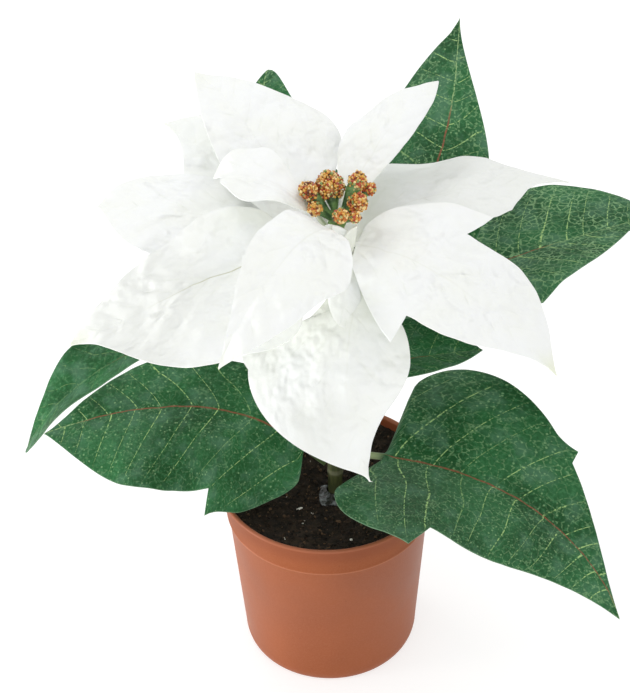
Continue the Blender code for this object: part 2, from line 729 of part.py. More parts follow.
def main():
    clear_scene()
    terracotta = material("terracotta", (0.50, 0.185, 0.09), 0.55)
    soil = material("soil", (0.030, 0.022, 0.016), 0.95)
    stem = material("stem", (0.13, 0.14, 0.035), 0.6)
    glue = material("glue", (0.35, 0.36, 0.36), 0.35)
    leaf = material("leaf", (0.030, 0.13, 0.050), 0.5)
    bract = material("bract", (0.86, 0.87, 0.84), 0.7)
    floret_green = material("floret_green", (0.10, 0.20, 0.06), 0.6)
    floret_beads = material("floret_beads", (0.62, 0.20, 0.04), 0.4)

    add_pot(terracotta)
    add_soil(soil)
    add_stem(stem)
    add_glue(glue)
    for name, blade in LEAVES.items():
        shade_round(add_blade(name, blade, leaf), 50)
    for name, blade in BRACTS.items():
        shade_round(add_blade(name, blade, bract), 50)
    add_floret_stalks(floret_green)
    for name, floret in FLORETS.items():
        add_floret_head(name, floret, floret_beads)


main()
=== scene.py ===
"""Looks for the potted poinsettia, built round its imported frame. Metres, +Z up."""

import math
import random
from dataclasses import dataclass

import bmesh
import bpy
import numpy as np
from mathutils import Matrix, Vector, noise


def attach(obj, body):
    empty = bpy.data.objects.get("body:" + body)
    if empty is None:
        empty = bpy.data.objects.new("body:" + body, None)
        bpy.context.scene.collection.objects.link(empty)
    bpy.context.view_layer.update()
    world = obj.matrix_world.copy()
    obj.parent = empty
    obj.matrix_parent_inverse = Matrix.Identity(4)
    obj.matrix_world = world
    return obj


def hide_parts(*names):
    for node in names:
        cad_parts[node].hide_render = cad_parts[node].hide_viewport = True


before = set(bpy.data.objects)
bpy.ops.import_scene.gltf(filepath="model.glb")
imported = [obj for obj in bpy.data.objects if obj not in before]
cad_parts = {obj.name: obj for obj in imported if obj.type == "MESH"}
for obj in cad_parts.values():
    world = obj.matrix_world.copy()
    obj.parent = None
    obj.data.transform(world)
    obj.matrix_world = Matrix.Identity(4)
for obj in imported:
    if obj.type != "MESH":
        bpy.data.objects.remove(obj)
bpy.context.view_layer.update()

MM = 0.001
GAP = 0.0003

# Camera, fitted to the photograph's 630 x 693 pixels
PHOTO_HEIGHT_PX = 693
FOCAL_PX = 2291
SENSOR_MM = 36
CAMERA_PLACE = (-0.004636, -0.882371, 0.923158)
CAMERA_PITCH = 39.5
CAMERA_ROLL = -1.6

# Pot, in the frame's measures but with more sides
POT_HEIGHT = 0.108
POT_TOP_RADIUS = 0.057
POT_BAND_HEIGHT = 0.020
POT_BAND_LOWER_RADIUS = 0.0532
POT_BODY_TOP_RADIUS = 0.0527
POT_BODY_FOOT_RADIUS = 0.0465
POT_FOOT_HEIGHT = 0.008
POT_UNDERSIDE_RADIUS = 0.0430
POT_WALL = 0.0018
POT_LIP = 0.0026
POT_FLOOR = 0.0025
BAND_FOOT = POT_HEIGHT - POT_BAND_HEIGHT
POT_SIDES = 160
BAND_STEP = 0.0006
# Pale plastic, for the paler grain and for the painted highlight along the collar's edge
PALE_PLASTIC_AND_HIGHLIGHT = (0.50, 0.20, 0.11)
FOOT_ARC_STEPS = 10
LIP_STEPS = 8
DRAIN_HOLES = 6
DRAIN_HOLE_RADIUS = 0.0035
DRAIN_RING_RADIUS = 0.028
DRAIN_HOLE_SIDES = 32

# Soil
SOIL_TOP = 0.0970
SOIL_BANK = 0.006
SOIL_RELIEF = 0.0012
SOIL_RIPPLES = ((170, 60, 0.0), (-90, 210, 1.3), (290, -120, 0.0))
SOIL_SIDES = 220
SOIL_RINGS = 70
SOIL_GRAINS = 2600
SLIVER_PLACE = (-15 * MM, -14.5 * MM)
PEAT = (0.008, 0.006, 0.004)

# Stem
STEM_FOOT_Z = 0.030
STEM_TOP_Z = 0.269
STEM_FOOT_RADIUS = 0.0045
STEM_TOP_RADIUS = 0.0036
STEM_FOOT_X = 0.0025
STEM_TOP_X = 0.0076
STEM_SIDES = 48
STEM_STATIONS = 260
STEM_JOINT_SWELL = 0.0004
STEM_JOINT_LENGTH = 0.004
BARE_JOINT_Z = 0.1135
SCAR_DROP = 1.5 * MM
SCAR_LENGTH = 0.7 * MM
SCAR_HEIGHT = 0.12 * MM
YOUNG_FROM_Z = 0.215
YOUNG_LENGTH = 0.04

# Depth of the furrows in the bark, their number round the stem and their turn per metre
FURROWS = ((0.10 * MM, 7, 40), (0.06 * MM, 11, -90))

# Glue. Its outline has lobes, each with a share of the radius, a count and a phase
GLUE_RADIUS = 0.0072
GLUE_DRIFT = (-0.0015, -0.0045)
GLUE_HEIGHT = 0.0010
GLUE_LOBES = ((0.12, 3, 1), (0.08, 5, 0), (0.05, 9, 2))
GLUE_SIDES = 96
GLUE_RINGS = 26

# Blades, a little thinner than in the frame
BLADE_THICKNESS = 0.0007
BLADE_KEEL = 0.0007
EDGE_THINNING = 0.35
KEEL_SHARPNESS = 9
STALK_BLEND = 0.05
SWEEP_SHARE = 0.35
CLAW_BLEND = 0.1
TOOTH_BULGE = 1.5
WAVE_SHIFT = 1.7
SIDE_RIBS = 24
BLADE_STATIONS = 116
STALK_STATIONS = 14
VEIN_SPACING = 19 * MM
VEIN_ARCH = 0.285
VEIN_CROWDING = 0.29
VEIN_SLANTS = {"leaf_front_right": (0.27, -0.15)}
DOT_SPACING = 2.6 * MM
PALE_STALK = (0.27, 0.33, 0.17)

# Florets
FOOT_RADII = (0.0032, 0.0045, 0.0025)
FOOT_HEIGHT = 0.006
FLORET_STALK_RADIUS = 1.3 * MM
CUP_SIDES = 24
CUP_RINGS = 22
CORE_SHARE = 0.78
CORE_TONE = 0.72
BEAD_RADIUS = 0.00062
BEAD_SPACING = BEAD_RADIUS * 1.5
BARE_BELOW = -0.80
HEAD_LENGTH = 1.18
CUP_SHARES = {"floret_back_right": 0.85, "floret_back_left": 0.7}

# Studio, with the place, target, diameter and watts of each lamp
WORLD_STRENGTH = 0.92
FLOOR_REACH = 3.0
LIGHTS = {
    "key": ((-0.5, 0.6, 1.2), (0.0, 0.0, 0.18), 0.4, 2.5),
    "side": ((-0.60, -0.15, 0.06), (0.0, 0.0, 0.05), 0.15, 2.2),
    "front": ((0.3, -1.4, 0.7), (0.0, 0.0, 0.18), 0.8, 2),
}


@dataclass
class Blade:
    """
    A leaf or bract on its stalk. Angles are in degrees.

    Left and right are as seen from above with the stalk behind, and a place along the
    blade is a share of its length.

    root_z: height at which the stalk leaves the stem
    heading: compass angle at the base, middle and tip, from +X towards +Y
    stalk_pitch, pitch: angle above the horizon, of the blade at its base, middle and tip
    width: length of the longest rib on the left and right
    fullness: swell at the base, then the taper to the tip on the left and right
    sweep: forward slant of the ribs at the base on the left and right, and further on
    roll: turn about the midrib at the base and tip
    fold: rise of each half beside the midrib
    curl: how far each half turns down between midrib and edge
    teeth: each as (side, place, rise, fall, height), with side 0 for left and 1 for right
    wave: height, count and phase of the waves along the edge
    claw: share and half-width of a narrow first stretch
    """

    root_z: float
    heading: tuple
    stalk: float
    stalk_pitch: float
    pitch: tuple
    length: float
    width: tuple
    fullness: tuple = (0.6, 1.4, 1.4)
    sweep: tuple = (0, 0, 40)
    roll: tuple = (0, 0)
    fold: float = 10
    curl: float = 20
    teeth: tuple = ()
    wave: tuple = (1.2 * MM, 2.5, 0.0)
    claw: tuple = (0, 0)
    stalk_radius: float = 0.0012


@dataclass
class Cloth:
    """
    The relief of the leaves' or the bracts' cloth.

    slant: how far a vein runs forward for each step outwards
    quilt: how far the cloth bulges between its veins
    crumple, crumple_size: height and size of the wide folds
    pucker, pucker_size: height and size of the small folds
    """

    slant: float
    quilt: float
    crumple: float
    crumple_size: float
    pucker: float
    pucker_size: float


LEAF_CLOTH = Cloth(0.27, 0.55 * MM, 0.5 * MM, 30 * MM, 0.3 * MM, 9 * MM)
BRACT_CLOTH = Cloth(0.80, 0.35 * MM, 1.3 * MM, 26 * MM, 0.7 * MM, 10 * MM)

BRACTS = {
    "bract_front": Blade(
        0.251, (-70, -94.7, -0.2), 8 * MM, 0, (6, -45, -70), 114.6 * MM, (31.3 * MM, 54.7 * MM),
        (0.34, 1.16, 1.48), (-26.7, 25, 14.4), fold=-5, curl=35.8,
        teeth=((1, 0.24, 0.15, 0.13, 14 * MM),), wave=(3.2 * MM, 2.5, -1.44), claw=(0.20, 13 * MM),
    ),
    "bract_front_left": Blade(
        0.265, (-106.7, -124.7, -125), 14 * MM, 65, (45, -10, -50), 112.3 * MM,
        (32.3 * MM, 21 * MM), (0.54, 1.03, 1.56), (35, -11.2, 16.7), (-15, 0),
        fold=12, curl=34.9, wave=(3.2 * MM, 2.5, -1.46),
    ),
    "bract_front_right": Blade(
        0.261, (-31.5, -38.9, -24.4), 5 * MM, 20, (15, -15, -45), 123.2 * MM,
        (36.1 * MM, 32.8 * MM), (0.88, 1.18, 1.7), (-23.6, -7.6, 31.4), (15, 0),
        fold=2.5, curl=12, wave=(0.3 * MM, 2.5, -2.2),
        teeth=((0, 0.241, 0.305, 0.019, 20.7 * MM), (1, 0.27, 0.172, 0.024, 17.8 * MM)),
    ),
    "bract_right": Blade(
        0.250, (50.9, 6.9, 11.4), 6 * MM, 20, (20, 7, -6), 118.1 * MM, (41.1 * MM, 40.9 * MM),
        (0.33, 1.26, 1.96), (-49.7, 0, 28.5), (-2, -4), fold=-1, curl=6,
        teeth=((1, 0.638, 0.454, 0.156, 8.7 * MM),), wave=(3.2 * MM, 2.5, -2.58),
        claw=(0.08, 7 * MM),
    ),
    "bract_back_right": Blade(
        0.262, (69.5, 54, 43.4), 10 * MM, 30, (35, 20, 5), 90.9 * MM, (25.9 * MM, 12.4 * MM),
        (1.04, 1.34, 0.95), (35, 33.7, 20), fold=-2, curl=35, wave=(1.6 * MM, 2.5, 0.43),
    ),
    "bract_back_left": Blade(
        0.256, (130, 114.5, 136.6), 10 * MM, 30, (22, 11, 10), 122.7 * MM, (26 * MM, 43 * MM),
        (0.49, 0.83, 1.22), (0, 35, 20), (0, 1), fold=14, curl=24.8,
        wave=(2.0 * MM, 2.5, -1.6),
    ),
    "bract_upper_left": Blade(
        0.267, (159.7, 155.2, 151.8), 8 * MM, 55, (52, 8, -35), 61.5 * MM,
        (27.9 * MM, 23.5 * MM), (1.4, 2.13, 0.6), (19.9, 56.8, 20.7), (5, 5),
        fold=16.3, curl=10.9, wave=(-2.8 * MM, 2.5, 0.02),
    ),
    "bract_left_back": Blade(
        0.251, (128.2, 130.6, 142.4), 12 * MM, 10, (4, 6, 12), 116.2 * MM, (39 * MM, 46 * MM),
        (0.85, 1.9, 1.09), (0, 0, 17.1), (-6, -2), fold=9, curl=8.6,
        wave=(3.2 * MM, 2.5, -0.94),
    ),
    "bract_left": Blade(
        0.254, (163.5, 160.3, 164.4), 12 * MM, 10, (14, 0, -10), 109 * MM, (39 * MM, 39 * MM),
        (0.65, 1.18, 0.94), (0, 8.7, 40.1), (-12, -4), fold=5.4, curl=27.7,
        wave=(-0.8 * MM, 2.5, 0.33),
    ),
    "bract_lower_left": Blade(
        0.256, (-147, -165.6, -182), 12 * MM, 20, (24, -18, -28), 130 * MM,
        (62.4 * MM, 42.1 * MM), (0.33, 1.47, 0.94), (24.8, 6.6, 42.8), (-12, -5),
        fold=6.9, curl=16.5, wave=(3.2 * MM, 2.5, 1.2),
    ),
}

# Short inner bracts round the stem's top, which the frame leaves out
INNER_BRACTS = {
    "inner_bract_front": Blade(
        0.2565, (-84, -87, -88), 4 * MM, 0, (8, -22, -40), 40 * MM, (8.8 * MM, 8.8 * MM),
        (0.55, 0.6, 0.6), (0, 0, 20), fold=8, curl=45, wave=(0.2 * MM, 2, 0.0),
    ),
    "inner_bract_right": Blade(
        0.2548, (-45, -45, -45), 3 * MM, 30, (50, 74, 80), 21 * MM, (7 * MM, 7 * MM),
        (0.4, 0.8, 0.8), (0, 0, 20), fold=35, curl=12, wave=(0.4 * MM, 2, 0.0), claw=(0.15, 7 * MM),
    ),
    "inner_bract_under": Blade(
        0.2540, (-42, -42, -42), 3 * MM, 20, (34, 14, -12), 22 * MM, (4.5 * MM, 6 * MM),
        (0.5, 0.8, 0.8), (0, 0, 20), fold=5, curl=10, wave=(0.2 * MM, 2, 0.0),
    ),
    "inner_bract_low": Blade(
        0.2522, (0, 0, 0), 2.5 * MM, 15, (14, 8, 4), 18 * MM, (5 * MM, 5 * MM),
        (0.4, 0.8, 0.8), (0, 0, 20), fold=5, curl=10, wave=(0.2 * MM, 2, 0.0), claw=(0.2, 4 * MM),
    ),
    "inner_bract_left": Blade(
        0.2625, (-100, -104, -108), 3 * MM, 40, (60, 74, 80), 15 * MM, (6.5 * MM, 6.5 * MM),
        (0.4, 0.8, 0.8), (0, 0, 20), fold=25, curl=12, wave=(0.4 * MM, 2, 0.0), claw=(0.1, 5 * MM),
    ),
}

LEAVES = {
    "leaf_back_right": Blade(
        0.220, (41, 74, 83.5), 25 * MM, 30, (26, 20, 15), 162.6 * MM, (38.7 * MM, 34.2 * MM),
        (0.33, 1.12, 1.65), (0, 0, 20), fold=0, curl=23.4,
        teeth=((0, 0.523, 0.35, 0.40, 9 * MM),), wave=(4.1 * MM, 2.5, -0.12),
    ),
    "leaf_right": Blade(
        0.190, (38.2, 26.8, 27), 30 * MM, 20, (5, 0, -5), 167.3 * MM, (66 * MM, 19.4 * MM),
        (0.5, 1.0, 0.71), (0, -20, 46), fold=12, curl=24,
        teeth=((1, 0.254, 0.182, 0.558, 32 * MM),), wave=(-2.8 * MM, 2.5, -0.72),
    ),
    "leaf_front_right": Blade(
        0.125, (-12, -34.5, -75), 20.5 * MM, 0, (0, -14, -25), 156 * MM, (70 * MM, 60 * MM),
        (0.43, 2.1, 1.0), (0, -37, 0), fold=15, curl=10,
        teeth=((0, 0.53, 0.075, 0.006, 6.3 * MM), (1, 0.27, 0.44, 0.02, 22.5 * MM)),
        wave=(8 * MM, 1, -1.5), stalk_radius=0.0018,
    ),
    "leaf_front_left": Blade(
        0.115, (156, 178, 192.5), 12.3 * MM, 30, (35, 0, -12), 144.3 * MM, (55.7 * MM, 33.3 * MM),
        (0.74, 1.1, 1.37), (-32, -30, 25.7), (-15, -20),
        teeth=((0, 0.232, 0.384, 0.014, 16.6 * MM),),
        wave=(-4.65 * MM, 2.5, 0.725), stalk_radius=0.0018,
    ),
    "leaf_left": Blade(
        0.200, (180, 200, 197), 45 * MM, 10, (5, -20, -65), 130.4 * MM, (15.8 * MM, 23.6 * MM),
        (0.9, 0.68, 1.5), (0, 0, 20), fold=20, curl=5, wave=(-2.8 * MM, 2.5, -0.7),
    ),
    "leaf_under_right": Blade(
        0.175, (14.8, 16.1, 17.9), 15 * MM, 10, (5, -5, -10), 59.8 * MM, (42 * MM, 19.5 * MM),
        (0.3, 1.25, 1.0), (35, 18.4, 42.1), fold=12.8, curl=18.3,
        wave=(-0.4 * MM, 2.5, 0.15),
    ),
    "leaf_back": Blade(
        0.209, (91.4, 115.7, 72), 25 * MM, 30, (26, 18, 17), 135 * MM, (25.1 * MM, 23.5 * MM),
        (0.44, 1.01, 0.62), (0, 0, 16.3), fold=7, curl=5, wave=(4.2 * MM, 2.5, 1.9),
    ),
}

# For each look of a blade the usual value, and the value of those that differ
BRACT_LOOKS = {
    "green_tip": (
        0.2, {"bract_front_right": 1.0, "bract_front_left": 0.5, "bract_lower_left": 0.7},
    ),
    # The crease sets both the midrib's relief and its painted shade
    "crease": (0.12, {"bract_lower_left": 1.0}),
    # Painted shade, grey over the outer part of these bracts
    "outer_painted_shade": (0.0, {
        "bract_lower_left": 1.0, "bract_right": 0.7, "bract_front": 0.3,
        "bract_front_right": 0.15, "bract_front_left": 0.15,
    }),
    # The heart tint is partly cream and partly painted shade; on the inner bracts it is mostly painted
    # shade
    "heart": (0.35, {
        "bract_front": 0.45, "bract_front_left": 0.10, "bract_front_right": 0.0,
        "bract_lower_left": 0.20, "bract_back_left": 0.05, "inner_bract_front": 0.5,
        "inner_bract_right": 1.2, "inner_bract_under": 1.2, "inner_bract_low": 1.2,
    }),
}
LEAF_LOOKS = {
    "net": (0.6, {
        "leaf_right": 1.0, "leaf_back_right": 0.65, "leaf_front_left": 0.35, "leaf_left": 0.2,
    }),
    "veined": (1.0, {"leaf_left": 0.25, "leaf_under_right": 0.6}),
    "pale": (0.0, {"leaf_front_right": 1.0}),
    "red_until": (0.5, {
        "leaf_front_right": 0.93, "leaf_front_left": 0.85, "leaf_back_right": 0.62,
        "leaf_right": 0.60,
    }),
}

# Centre and radius of each floret head
FLORETS = {
    "floret_back_left": (-5.8 * MM, 6.8 * MM, 0.2868, 4.5 * MM),
    "floret_back": (4.5 * MM, 11 * MM, 0.287, 6.6 * MM),
    "floret_back_right": (18 * MM, 9 * MM, 0.290, 4.3 * MM),
    "floret_right": (24 * MM, 8 * MM, 0.286, 3.0 * MM),
    "floret_middle_right": (18 * MM, 0 * MM, 0.284, 4.4 * MM),
    "floret_left": (-3.2 * MM, -1.0 * MM, 0.2818, 3.4 * MM),
    "floret_front": (9.2 * MM, -10 * MM, 0.2835, 3.7 * MM),
    "floret_front_right": (16.3 * MM, -9 * MM, 0.2815, 2.9 * MM),
}


class Shader:
    """Builds one material. Most calls add a node and return its output."""

    def __init__(self, name, roughness=0.5):
        self.material = bpy.data.materials.new(name)
        self.material.use_nodes = True
        self.nodes = self.material.node_tree.nodes
        self.links = self.material.node_tree.links
        self.surface = self.nodes["Principled BSDF"]
        self.set("Roughness", roughness)

    def put(self, value, socket):
        """Links an output to the socket, or sets the socket's own value."""
        if isinstance(value, bpy.types.NodeSocket):
            self.links.new(value, socket)
        elif socket.type == "RGBA" and len(value) == 3:
            socket.default_value = (*value, 1.0)
        else:
            socket.default_value = value

    def set(self, name, value):
        self.put(value, self.surface.inputs[name])

    def node(self, kind, output, inputs, **settings):
        """Adds a node with these settings and inputs, and returns one of its outputs."""
        node = self.nodes.new("ShaderNode" + kind)
        for name, value in settings.items():
            setattr(node, name, value)
        for name, value in inputs.items():
            self.put(value, node.inputs[name])
        return node.outputs[output]

    def attribute(self, name, output="Fac"):
        return self.node("Attribute", output, {}, attribute_name=name)

    def place(self):
        return self.node("TexCoord", "Object", {})

    def height(self, place):
        return self.node("SeparateXYZ", "Z", {"Vector": place})

    def maths(self, operation, *values):
        return self.node("Math", 0, dict(enumerate(values)), operation=operation)

    def times(self, first, *others):
        """The product of all the values."""
        for value in others:
            first = self.maths("MULTIPLY", first, value)
        return first

    def fade(self, value, start, end, low=0.0, high=1.0):
        """low where value is at start, high where it is at end, with a smooth step between."""
        ends = {"From Min": start, "From Max": end, "To Min": low, "To Max": high}
        return self.node("MapRange", "Result", {"Value": value} | ends, interpolation_type="SMOOTHSTEP")

    def mix(self, share, first, second):
        return self.node("Mix", 2, {0: share, 6: first, 7: second}, data_type="RGBA")

    def base(self, share, first, second):
        """Sets the base colour to a mix of two colours."""
        self.colour = self.mix(share, first, second)
        self.set("Base Color", self.colour)

    def tint(self, share, colour):
        """Lays one more colour over the base colour."""
        self.base(share, self.colour, colour)

    def noise(self, vector, size, detail=2.0, roughness=0.5):
        """Cloudy noise whose largest features are about size across."""
        inputs = {"Vector": vector, "Scale": 1 / size, "Detail": detail, "Roughness": roughness}
        return self.node("TexNoise", "Fac", inputs)

    def cells(self, vector, size, feature="F1", output="Distance"):
        """Cells about size across, by distance or with a chance colour each."""
        return self.node("TexVoronoi", output, {"Vector": vector, "Scale": 1 / size}, feature=feature)

    def bump(self, height, distance, normal=None):
        """Adds relief on top of the relief of an earlier normal."""
        inputs = {"Height": height, "Distance": distance}
        if normal is not None:
            inputs["Normal"] = normal
        relief = self.node("Bump", "Normal", inputs)
        self.set("Normal", relief)
        return relief


def terracotta_material():
    """Plain plastic, with painted shade that darkens the collar, and painted highlights: a light line
    along the collar's lower edge and a lighter band round the lip.
    """
    shader = Shader("terracotta_plastic", 0.45)
    place = shader.place()
    height = shader.height(place)
    cloud = shader.noise(place, 45 * MM, 3.0)
    shader.base(shader.fade(cloud, 0.35, 0.65), (0.268, 0.073, 0.025), (0.300, 0.084, 0.030))
    grain = shader.noise(place, 0.9 * MM, 2.0)
    shader.tint(shader.fade(grain, 0.35, 0.75, 0.0, 0.10), PALE_PLASTIC_AND_HIGHLIGHT)
    speck = shader.cells(place, 9 * MM)
    shader.tint(shader.fade(speck, 0.050, 0.030, 0.0, 0.6), (0.12, 0.035, 0.018))
    above_edge = shader.maths("SUBTRACT", height, BAND_FOOT + BAND_STEP)
    # Painted shade: the collar darkens upwards from its lower edge.
    collar = shader.fade(above_edge, 4 * MM, 16 * MM, 0.0, 0.55)
    shader.tint(collar, (0.215, 0.058, 0.024))
    # Painted highlight: a light line along the collar's lower edge, where its ridge faces the light.
    edge = shader.fade(shader.maths("ABSOLUTE", above_edge), 0.9 * MM, 0.3 * MM, 0.0, 0.50)
    shader.tint(edge, PALE_PLASTIC_AND_HIGHLIGHT)
    # Painted highlight: a lighter band round the top of the lip.
    lip = shader.fade(height, POT_HEIGHT - 1.6 * MM, POT_HEIGHT - 0.6 * MM, 0.0, 0.6)
    shader.tint(lip, (0.42, 0.15, 0.08))
    shader.set("Roughness", shader.fade(cloud, 0.3, 0.7, 0.40, 0.49))
    shader.set("Specular IOR Level", 0.14)
    fine = shader.bump(grain, 0.015 * MM)
    shader.bump(shader.noise(place, 11 * MM, 1.0), 0.06 * MM, fine)
    return shader.material


def soil_material():
    """Dark peat with paler clumps and brown crumbs."""
    shader = Shader("soil_dark", 0.92)
    place = shader.place()
    clump = shader.noise(place, 5 * MM, 4.0, 0.7)
    shader.base(shader.fade(clump, 0.35, 0.7), PEAT, (0.035, 0.023, 0.014))
    crumb = shader.cells(place, 1.6 * MM, output="Color")
    shader.tint(shader.fade(crumb, 0.75, 0.95, 0.0, 0.6), (0.085, 0.050, 0.028))
    shader.set("Specular IOR Level", 0.25)
    shader.bump(shader.noise(place, 0.9 * MM, 3.0, 0.7), 0.4 * MM)
    return shader.material


def grain_material():
    """Grains run from nearly black through brown and tan to a few pale ones, by their tone."""
    shader = Shader("soil_grain", 0.85)
    tone = shader.attribute("tone")
    shader.base(shader.fade(tone, 0.0, 0.75), PEAT, (0.034, 0.022, 0.013))
    shader.tint(shader.fade(tone, 0.80, 0.95), (0.110, 0.065, 0.035))
    shader.tint(shader.fade(tone, 0.992, 0.996), (0.78, 0.75, 0.68))
    shader.set("Specular IOR Level", 0.25)
    shader.bump(shader.noise(shader.place(), 0.5 * MM, 2.0), 0.15 * MM)
    return shader.material


def stem_material():
    """Olive green bark with long streaks, pale leaf scars and a younger, paler top."""
    shader = Shader("stem_bark", 0.55)
    place = shader.place()
    stretched = shader.node("Mapping", "Vector", {"Vector": place, "Scale": (1.0, 1.0, 0.12)})
    streaks = shader.noise(stretched, 1.2 * MM, 3.0, 0.6)
    shader.base(shader.fade(streaks, 0.3, 0.7), (0.035, 0.045, 0.012), (0.075, 0.085, 0.024))
    cloud = shader.noise(place, 8 * MM, 2.0)
    shader.tint(shader.fade(cloud, 0.5, 0.7, 0.0, 0.5), (0.10, 0.085, 0.035))
    shader.tint(shader.attribute("scar"), (0.24, 0.24, 0.15))
    shader.tint(shader.attribute("youth"), (0.30, 0.36, 0.14))
    shader.bump(streaks, 0.25 * MM)
    return shader.material


def glue_material():
    """Set glue, clear enough in places to look as dark as the soil below it."""
    shader = Shader("glue_clear", 0.25)
    place = shader.place()
    cloud = shader.noise(place, 3.0 * MM, 2.0)
    shader.base(shader.fade(cloud, 0.42, 0.66), (0.018, 0.018, 0.015), (0.20, 0.215, 0.220))
    shader.set("Specular IOR Level", 0.4)
    shader.bump(cloud, 0.2 * MM)
    return shader.material


def vein_distance(shader):
    """Distance across the blade to its nearest side vein, in metres."""
    return shader.maths("PINGPONG", shader.attribute("vein"), VEIN_SPACING / 2)


def leaf_veins(shader, flat, across, on_blade):
    """How much of the pale side veins shows: thin broken lines, some fainter than others."""
    width = shader.fade(across, 0.0, 1.0, 0.66 * MM, 0.40 * MM)
    line = shader.fade(vein_distance(shader), width, shader.times(width, 0.25))
    beads = shader.fade(shader.noise(flat, 1.6 * MM, 1.0), 0.42, 0.54, 0.08, 1.0)
    number = shader.maths("ROUND", shader.maths("DIVIDE", shader.attribute("vein"), VEIN_SPACING))
    chance = shader.node("TexWhiteNoise", "Value", {"W": number}, noise_dimensions="1D")
    strength = shader.fade(chance, 0.05, 0.45, 0.45, 1.0)
    inside = shader.fade(across, 0.99, 0.80)
    return shader.times(line, beads, strength, inside, shader.attribute("veined"), on_blade)


def bent_place(shader, flat):
    """The place on the flat blade, bent a little, so that what is drawn there isn't straight."""
    drift = shader.node("TexNoise", "Color", {"Vector": flat, "Scale": 1 / (6 * MM)})
    reach = (3.2 * MM, 3.2 * MM, 0.0)
    return shader.node("VectorMath", 0, {0: drift, 1: reach, 2: flat}, operation="MULTIPLY_ADD")


def leaf_net(shader, flat, on_blade):
    """How much of the fine pale net and of its dots shows."""
    net = shader.attribute("net")
    edge = shader.cells(bent_place(shader, flat), 4.3 * MM, "DISTANCE_TO_EDGE")
    reach = shader.fade(net, 0.5, 1.0, 0.09, 0.125)
    line = shader.fade(edge, reach, shader.times(reach, 0.4))
    gaps = shader.fade(net, 0.6, 1.0, 0.10, 0.35)
    dashes = shader.fade(shader.noise(flat, 1.3 * MM, 1.0), 0.42, 0.58, gaps, 1.0)
    patch = shader.fade(shader.noise(flat, 12 * MM, 2.0), 0.40, 0.60, 0.40, 1.0)
    line = shader.times(line, dashes, patch, net)
    dot = shader.fade(shader.cells(flat, DOT_SPACING), 0.28, 0.14, 0.0, 0.8)
    kept = shader.fade(shader.cells(flat, DOT_SPACING, output="Color"), 0.40, 0.50)
    dot = shader.times(dot, kept, shader.attribute("veined"))
    return shader.times(shader.maths("MAXIMUM", line, dot), on_blade)


def leaf_midrib(shader, flat, share, red):
    """How much of the midrib shows: a thin line that wanders a little, broken where it isn't red."""
    drift = shader.maths("SUBTRACT", shader.noise(flat, 9 * MM, 1.0), 0.5)
    out = shader.maths("MULTIPLY_ADD", drift, 1.3 * MM, shader.attribute("out"))
    width = shader.fade(share, 0.0, 1.0, 0.80 * MM, 0.38 * MM)
    line = shader.fade(shader.maths("ABSOLUTE", out), width, shader.times(width, 0.45))
    faintest = shader.fade(red, 0.0, 1.0, 0.12, 0.55)
    worn = shader.fade(shader.noise(flat, 2.0 * MM, 1.0), 0.40, 0.54, faintest, 1.0)
    past_stalk = shader.fade(share, -0.02, 0.02)
    return shader.times(line, worn, past_stalk, shader.attribute("veined"))


def paint_leaf(shader, flat, dust_and_sheen):
    """Paints the green below the print, with a fine weave and pale patches, which are partly a dusty film
    and partly painted sheen.
    """
    cloud = shader.noise(flat, 34 * MM, 3.0)
    weave = shader.noise(flat, 1.9 * MM, 3.0, 0.65)
    shader.base(shader.fade(cloud, 0.32, 0.68), (0.011, 0.068, 0.018), (0.027, 0.134, 0.043))
    shader.tint(shader.fade(weave, 0.46, 0.28, 0.0, 0.50), (0.007, 0.043, 0.012))
    shader.tint(shader.fade(weave, 0.48, 0.70, 0.0, 0.60), (0.065, 0.220, 0.090))
    # Pale patches: partly a dusty film, partly painted sheen.
    shader.tint(shader.fade(dust_and_sheen, 0.46, 0.72, 0.0, 0.50), (0.100, 0.215, 0.135))


def leaf_material():
    """Green cloth printed with a net, dots, side veins and a midrib that is red near its base."""
    shader = Shader("leaf_printed", 0.45)
    flat = shader.attribute("flat", "Vector")
    share = shader.attribute("share")
    across = shader.maths("ABSOLUTE", shader.attribute("across"))
    on_blade = shader.fade(share, 0.0, 0.03)
    dust_and_sheen = shader.noise(flat, 13 * MM, 3.0)
    paint_leaf(shader, flat, dust_and_sheen)

    net = leaf_net(shader, flat, on_blade)
    shader.tint(shader.times(net, 0.62), (0.31, 0.52, 0.25))
    vein = leaf_veins(shader, flat, across, on_blade)
    shader.tint(shader.times(vein, 0.95), (0.42, 0.64, 0.24))
    red = shader.fade(shader.maths("SUBTRACT", share, shader.attribute("red_until")), 0.05, -0.05)
    midrib = leaf_midrib(shader, flat, share, red)
    midrib_colour = shader.mix(red, (0.30, 0.46, 0.20), (0.27, 0.080, 0.046))
    shader.tint(shader.times(midrib, 0.92), midrib_colour)
    rim = shader.fade(shader.attribute("margin"), 0.40 * MM, 0.12 * MM, 0.0, 0.6)
    shader.tint(shader.times(rim, on_blade), (0.15, 0.26, 0.15))
    stalk = shader.mix(shader.attribute("pale"), (0.045, 0.070, 0.022), PALE_STALK)
    shader.tint(shader.fade(share, 0.015, -0.03), stalk)

    shader.set("Roughness", shader.fade(dust_and_sheen, 0.35, 0.7, 0.40, 0.56))
    shader.set("Specular IOR Level", 0.15)
    lines = shader.maths("ADD", vein, shader.times(net, 0.4))
    relief = shader.bump(shader.times(lines, -1.0), 0.14 * MM)
    pucker = shader.bump(shader.noise(flat, 4.5 * MM, 2.0, 0.6), 0.35 * MM, relief)
    shader.bump(shader.noise(flat, 0.55 * MM, 1.0), 0.04 * MM, pucker)
    return shader.material


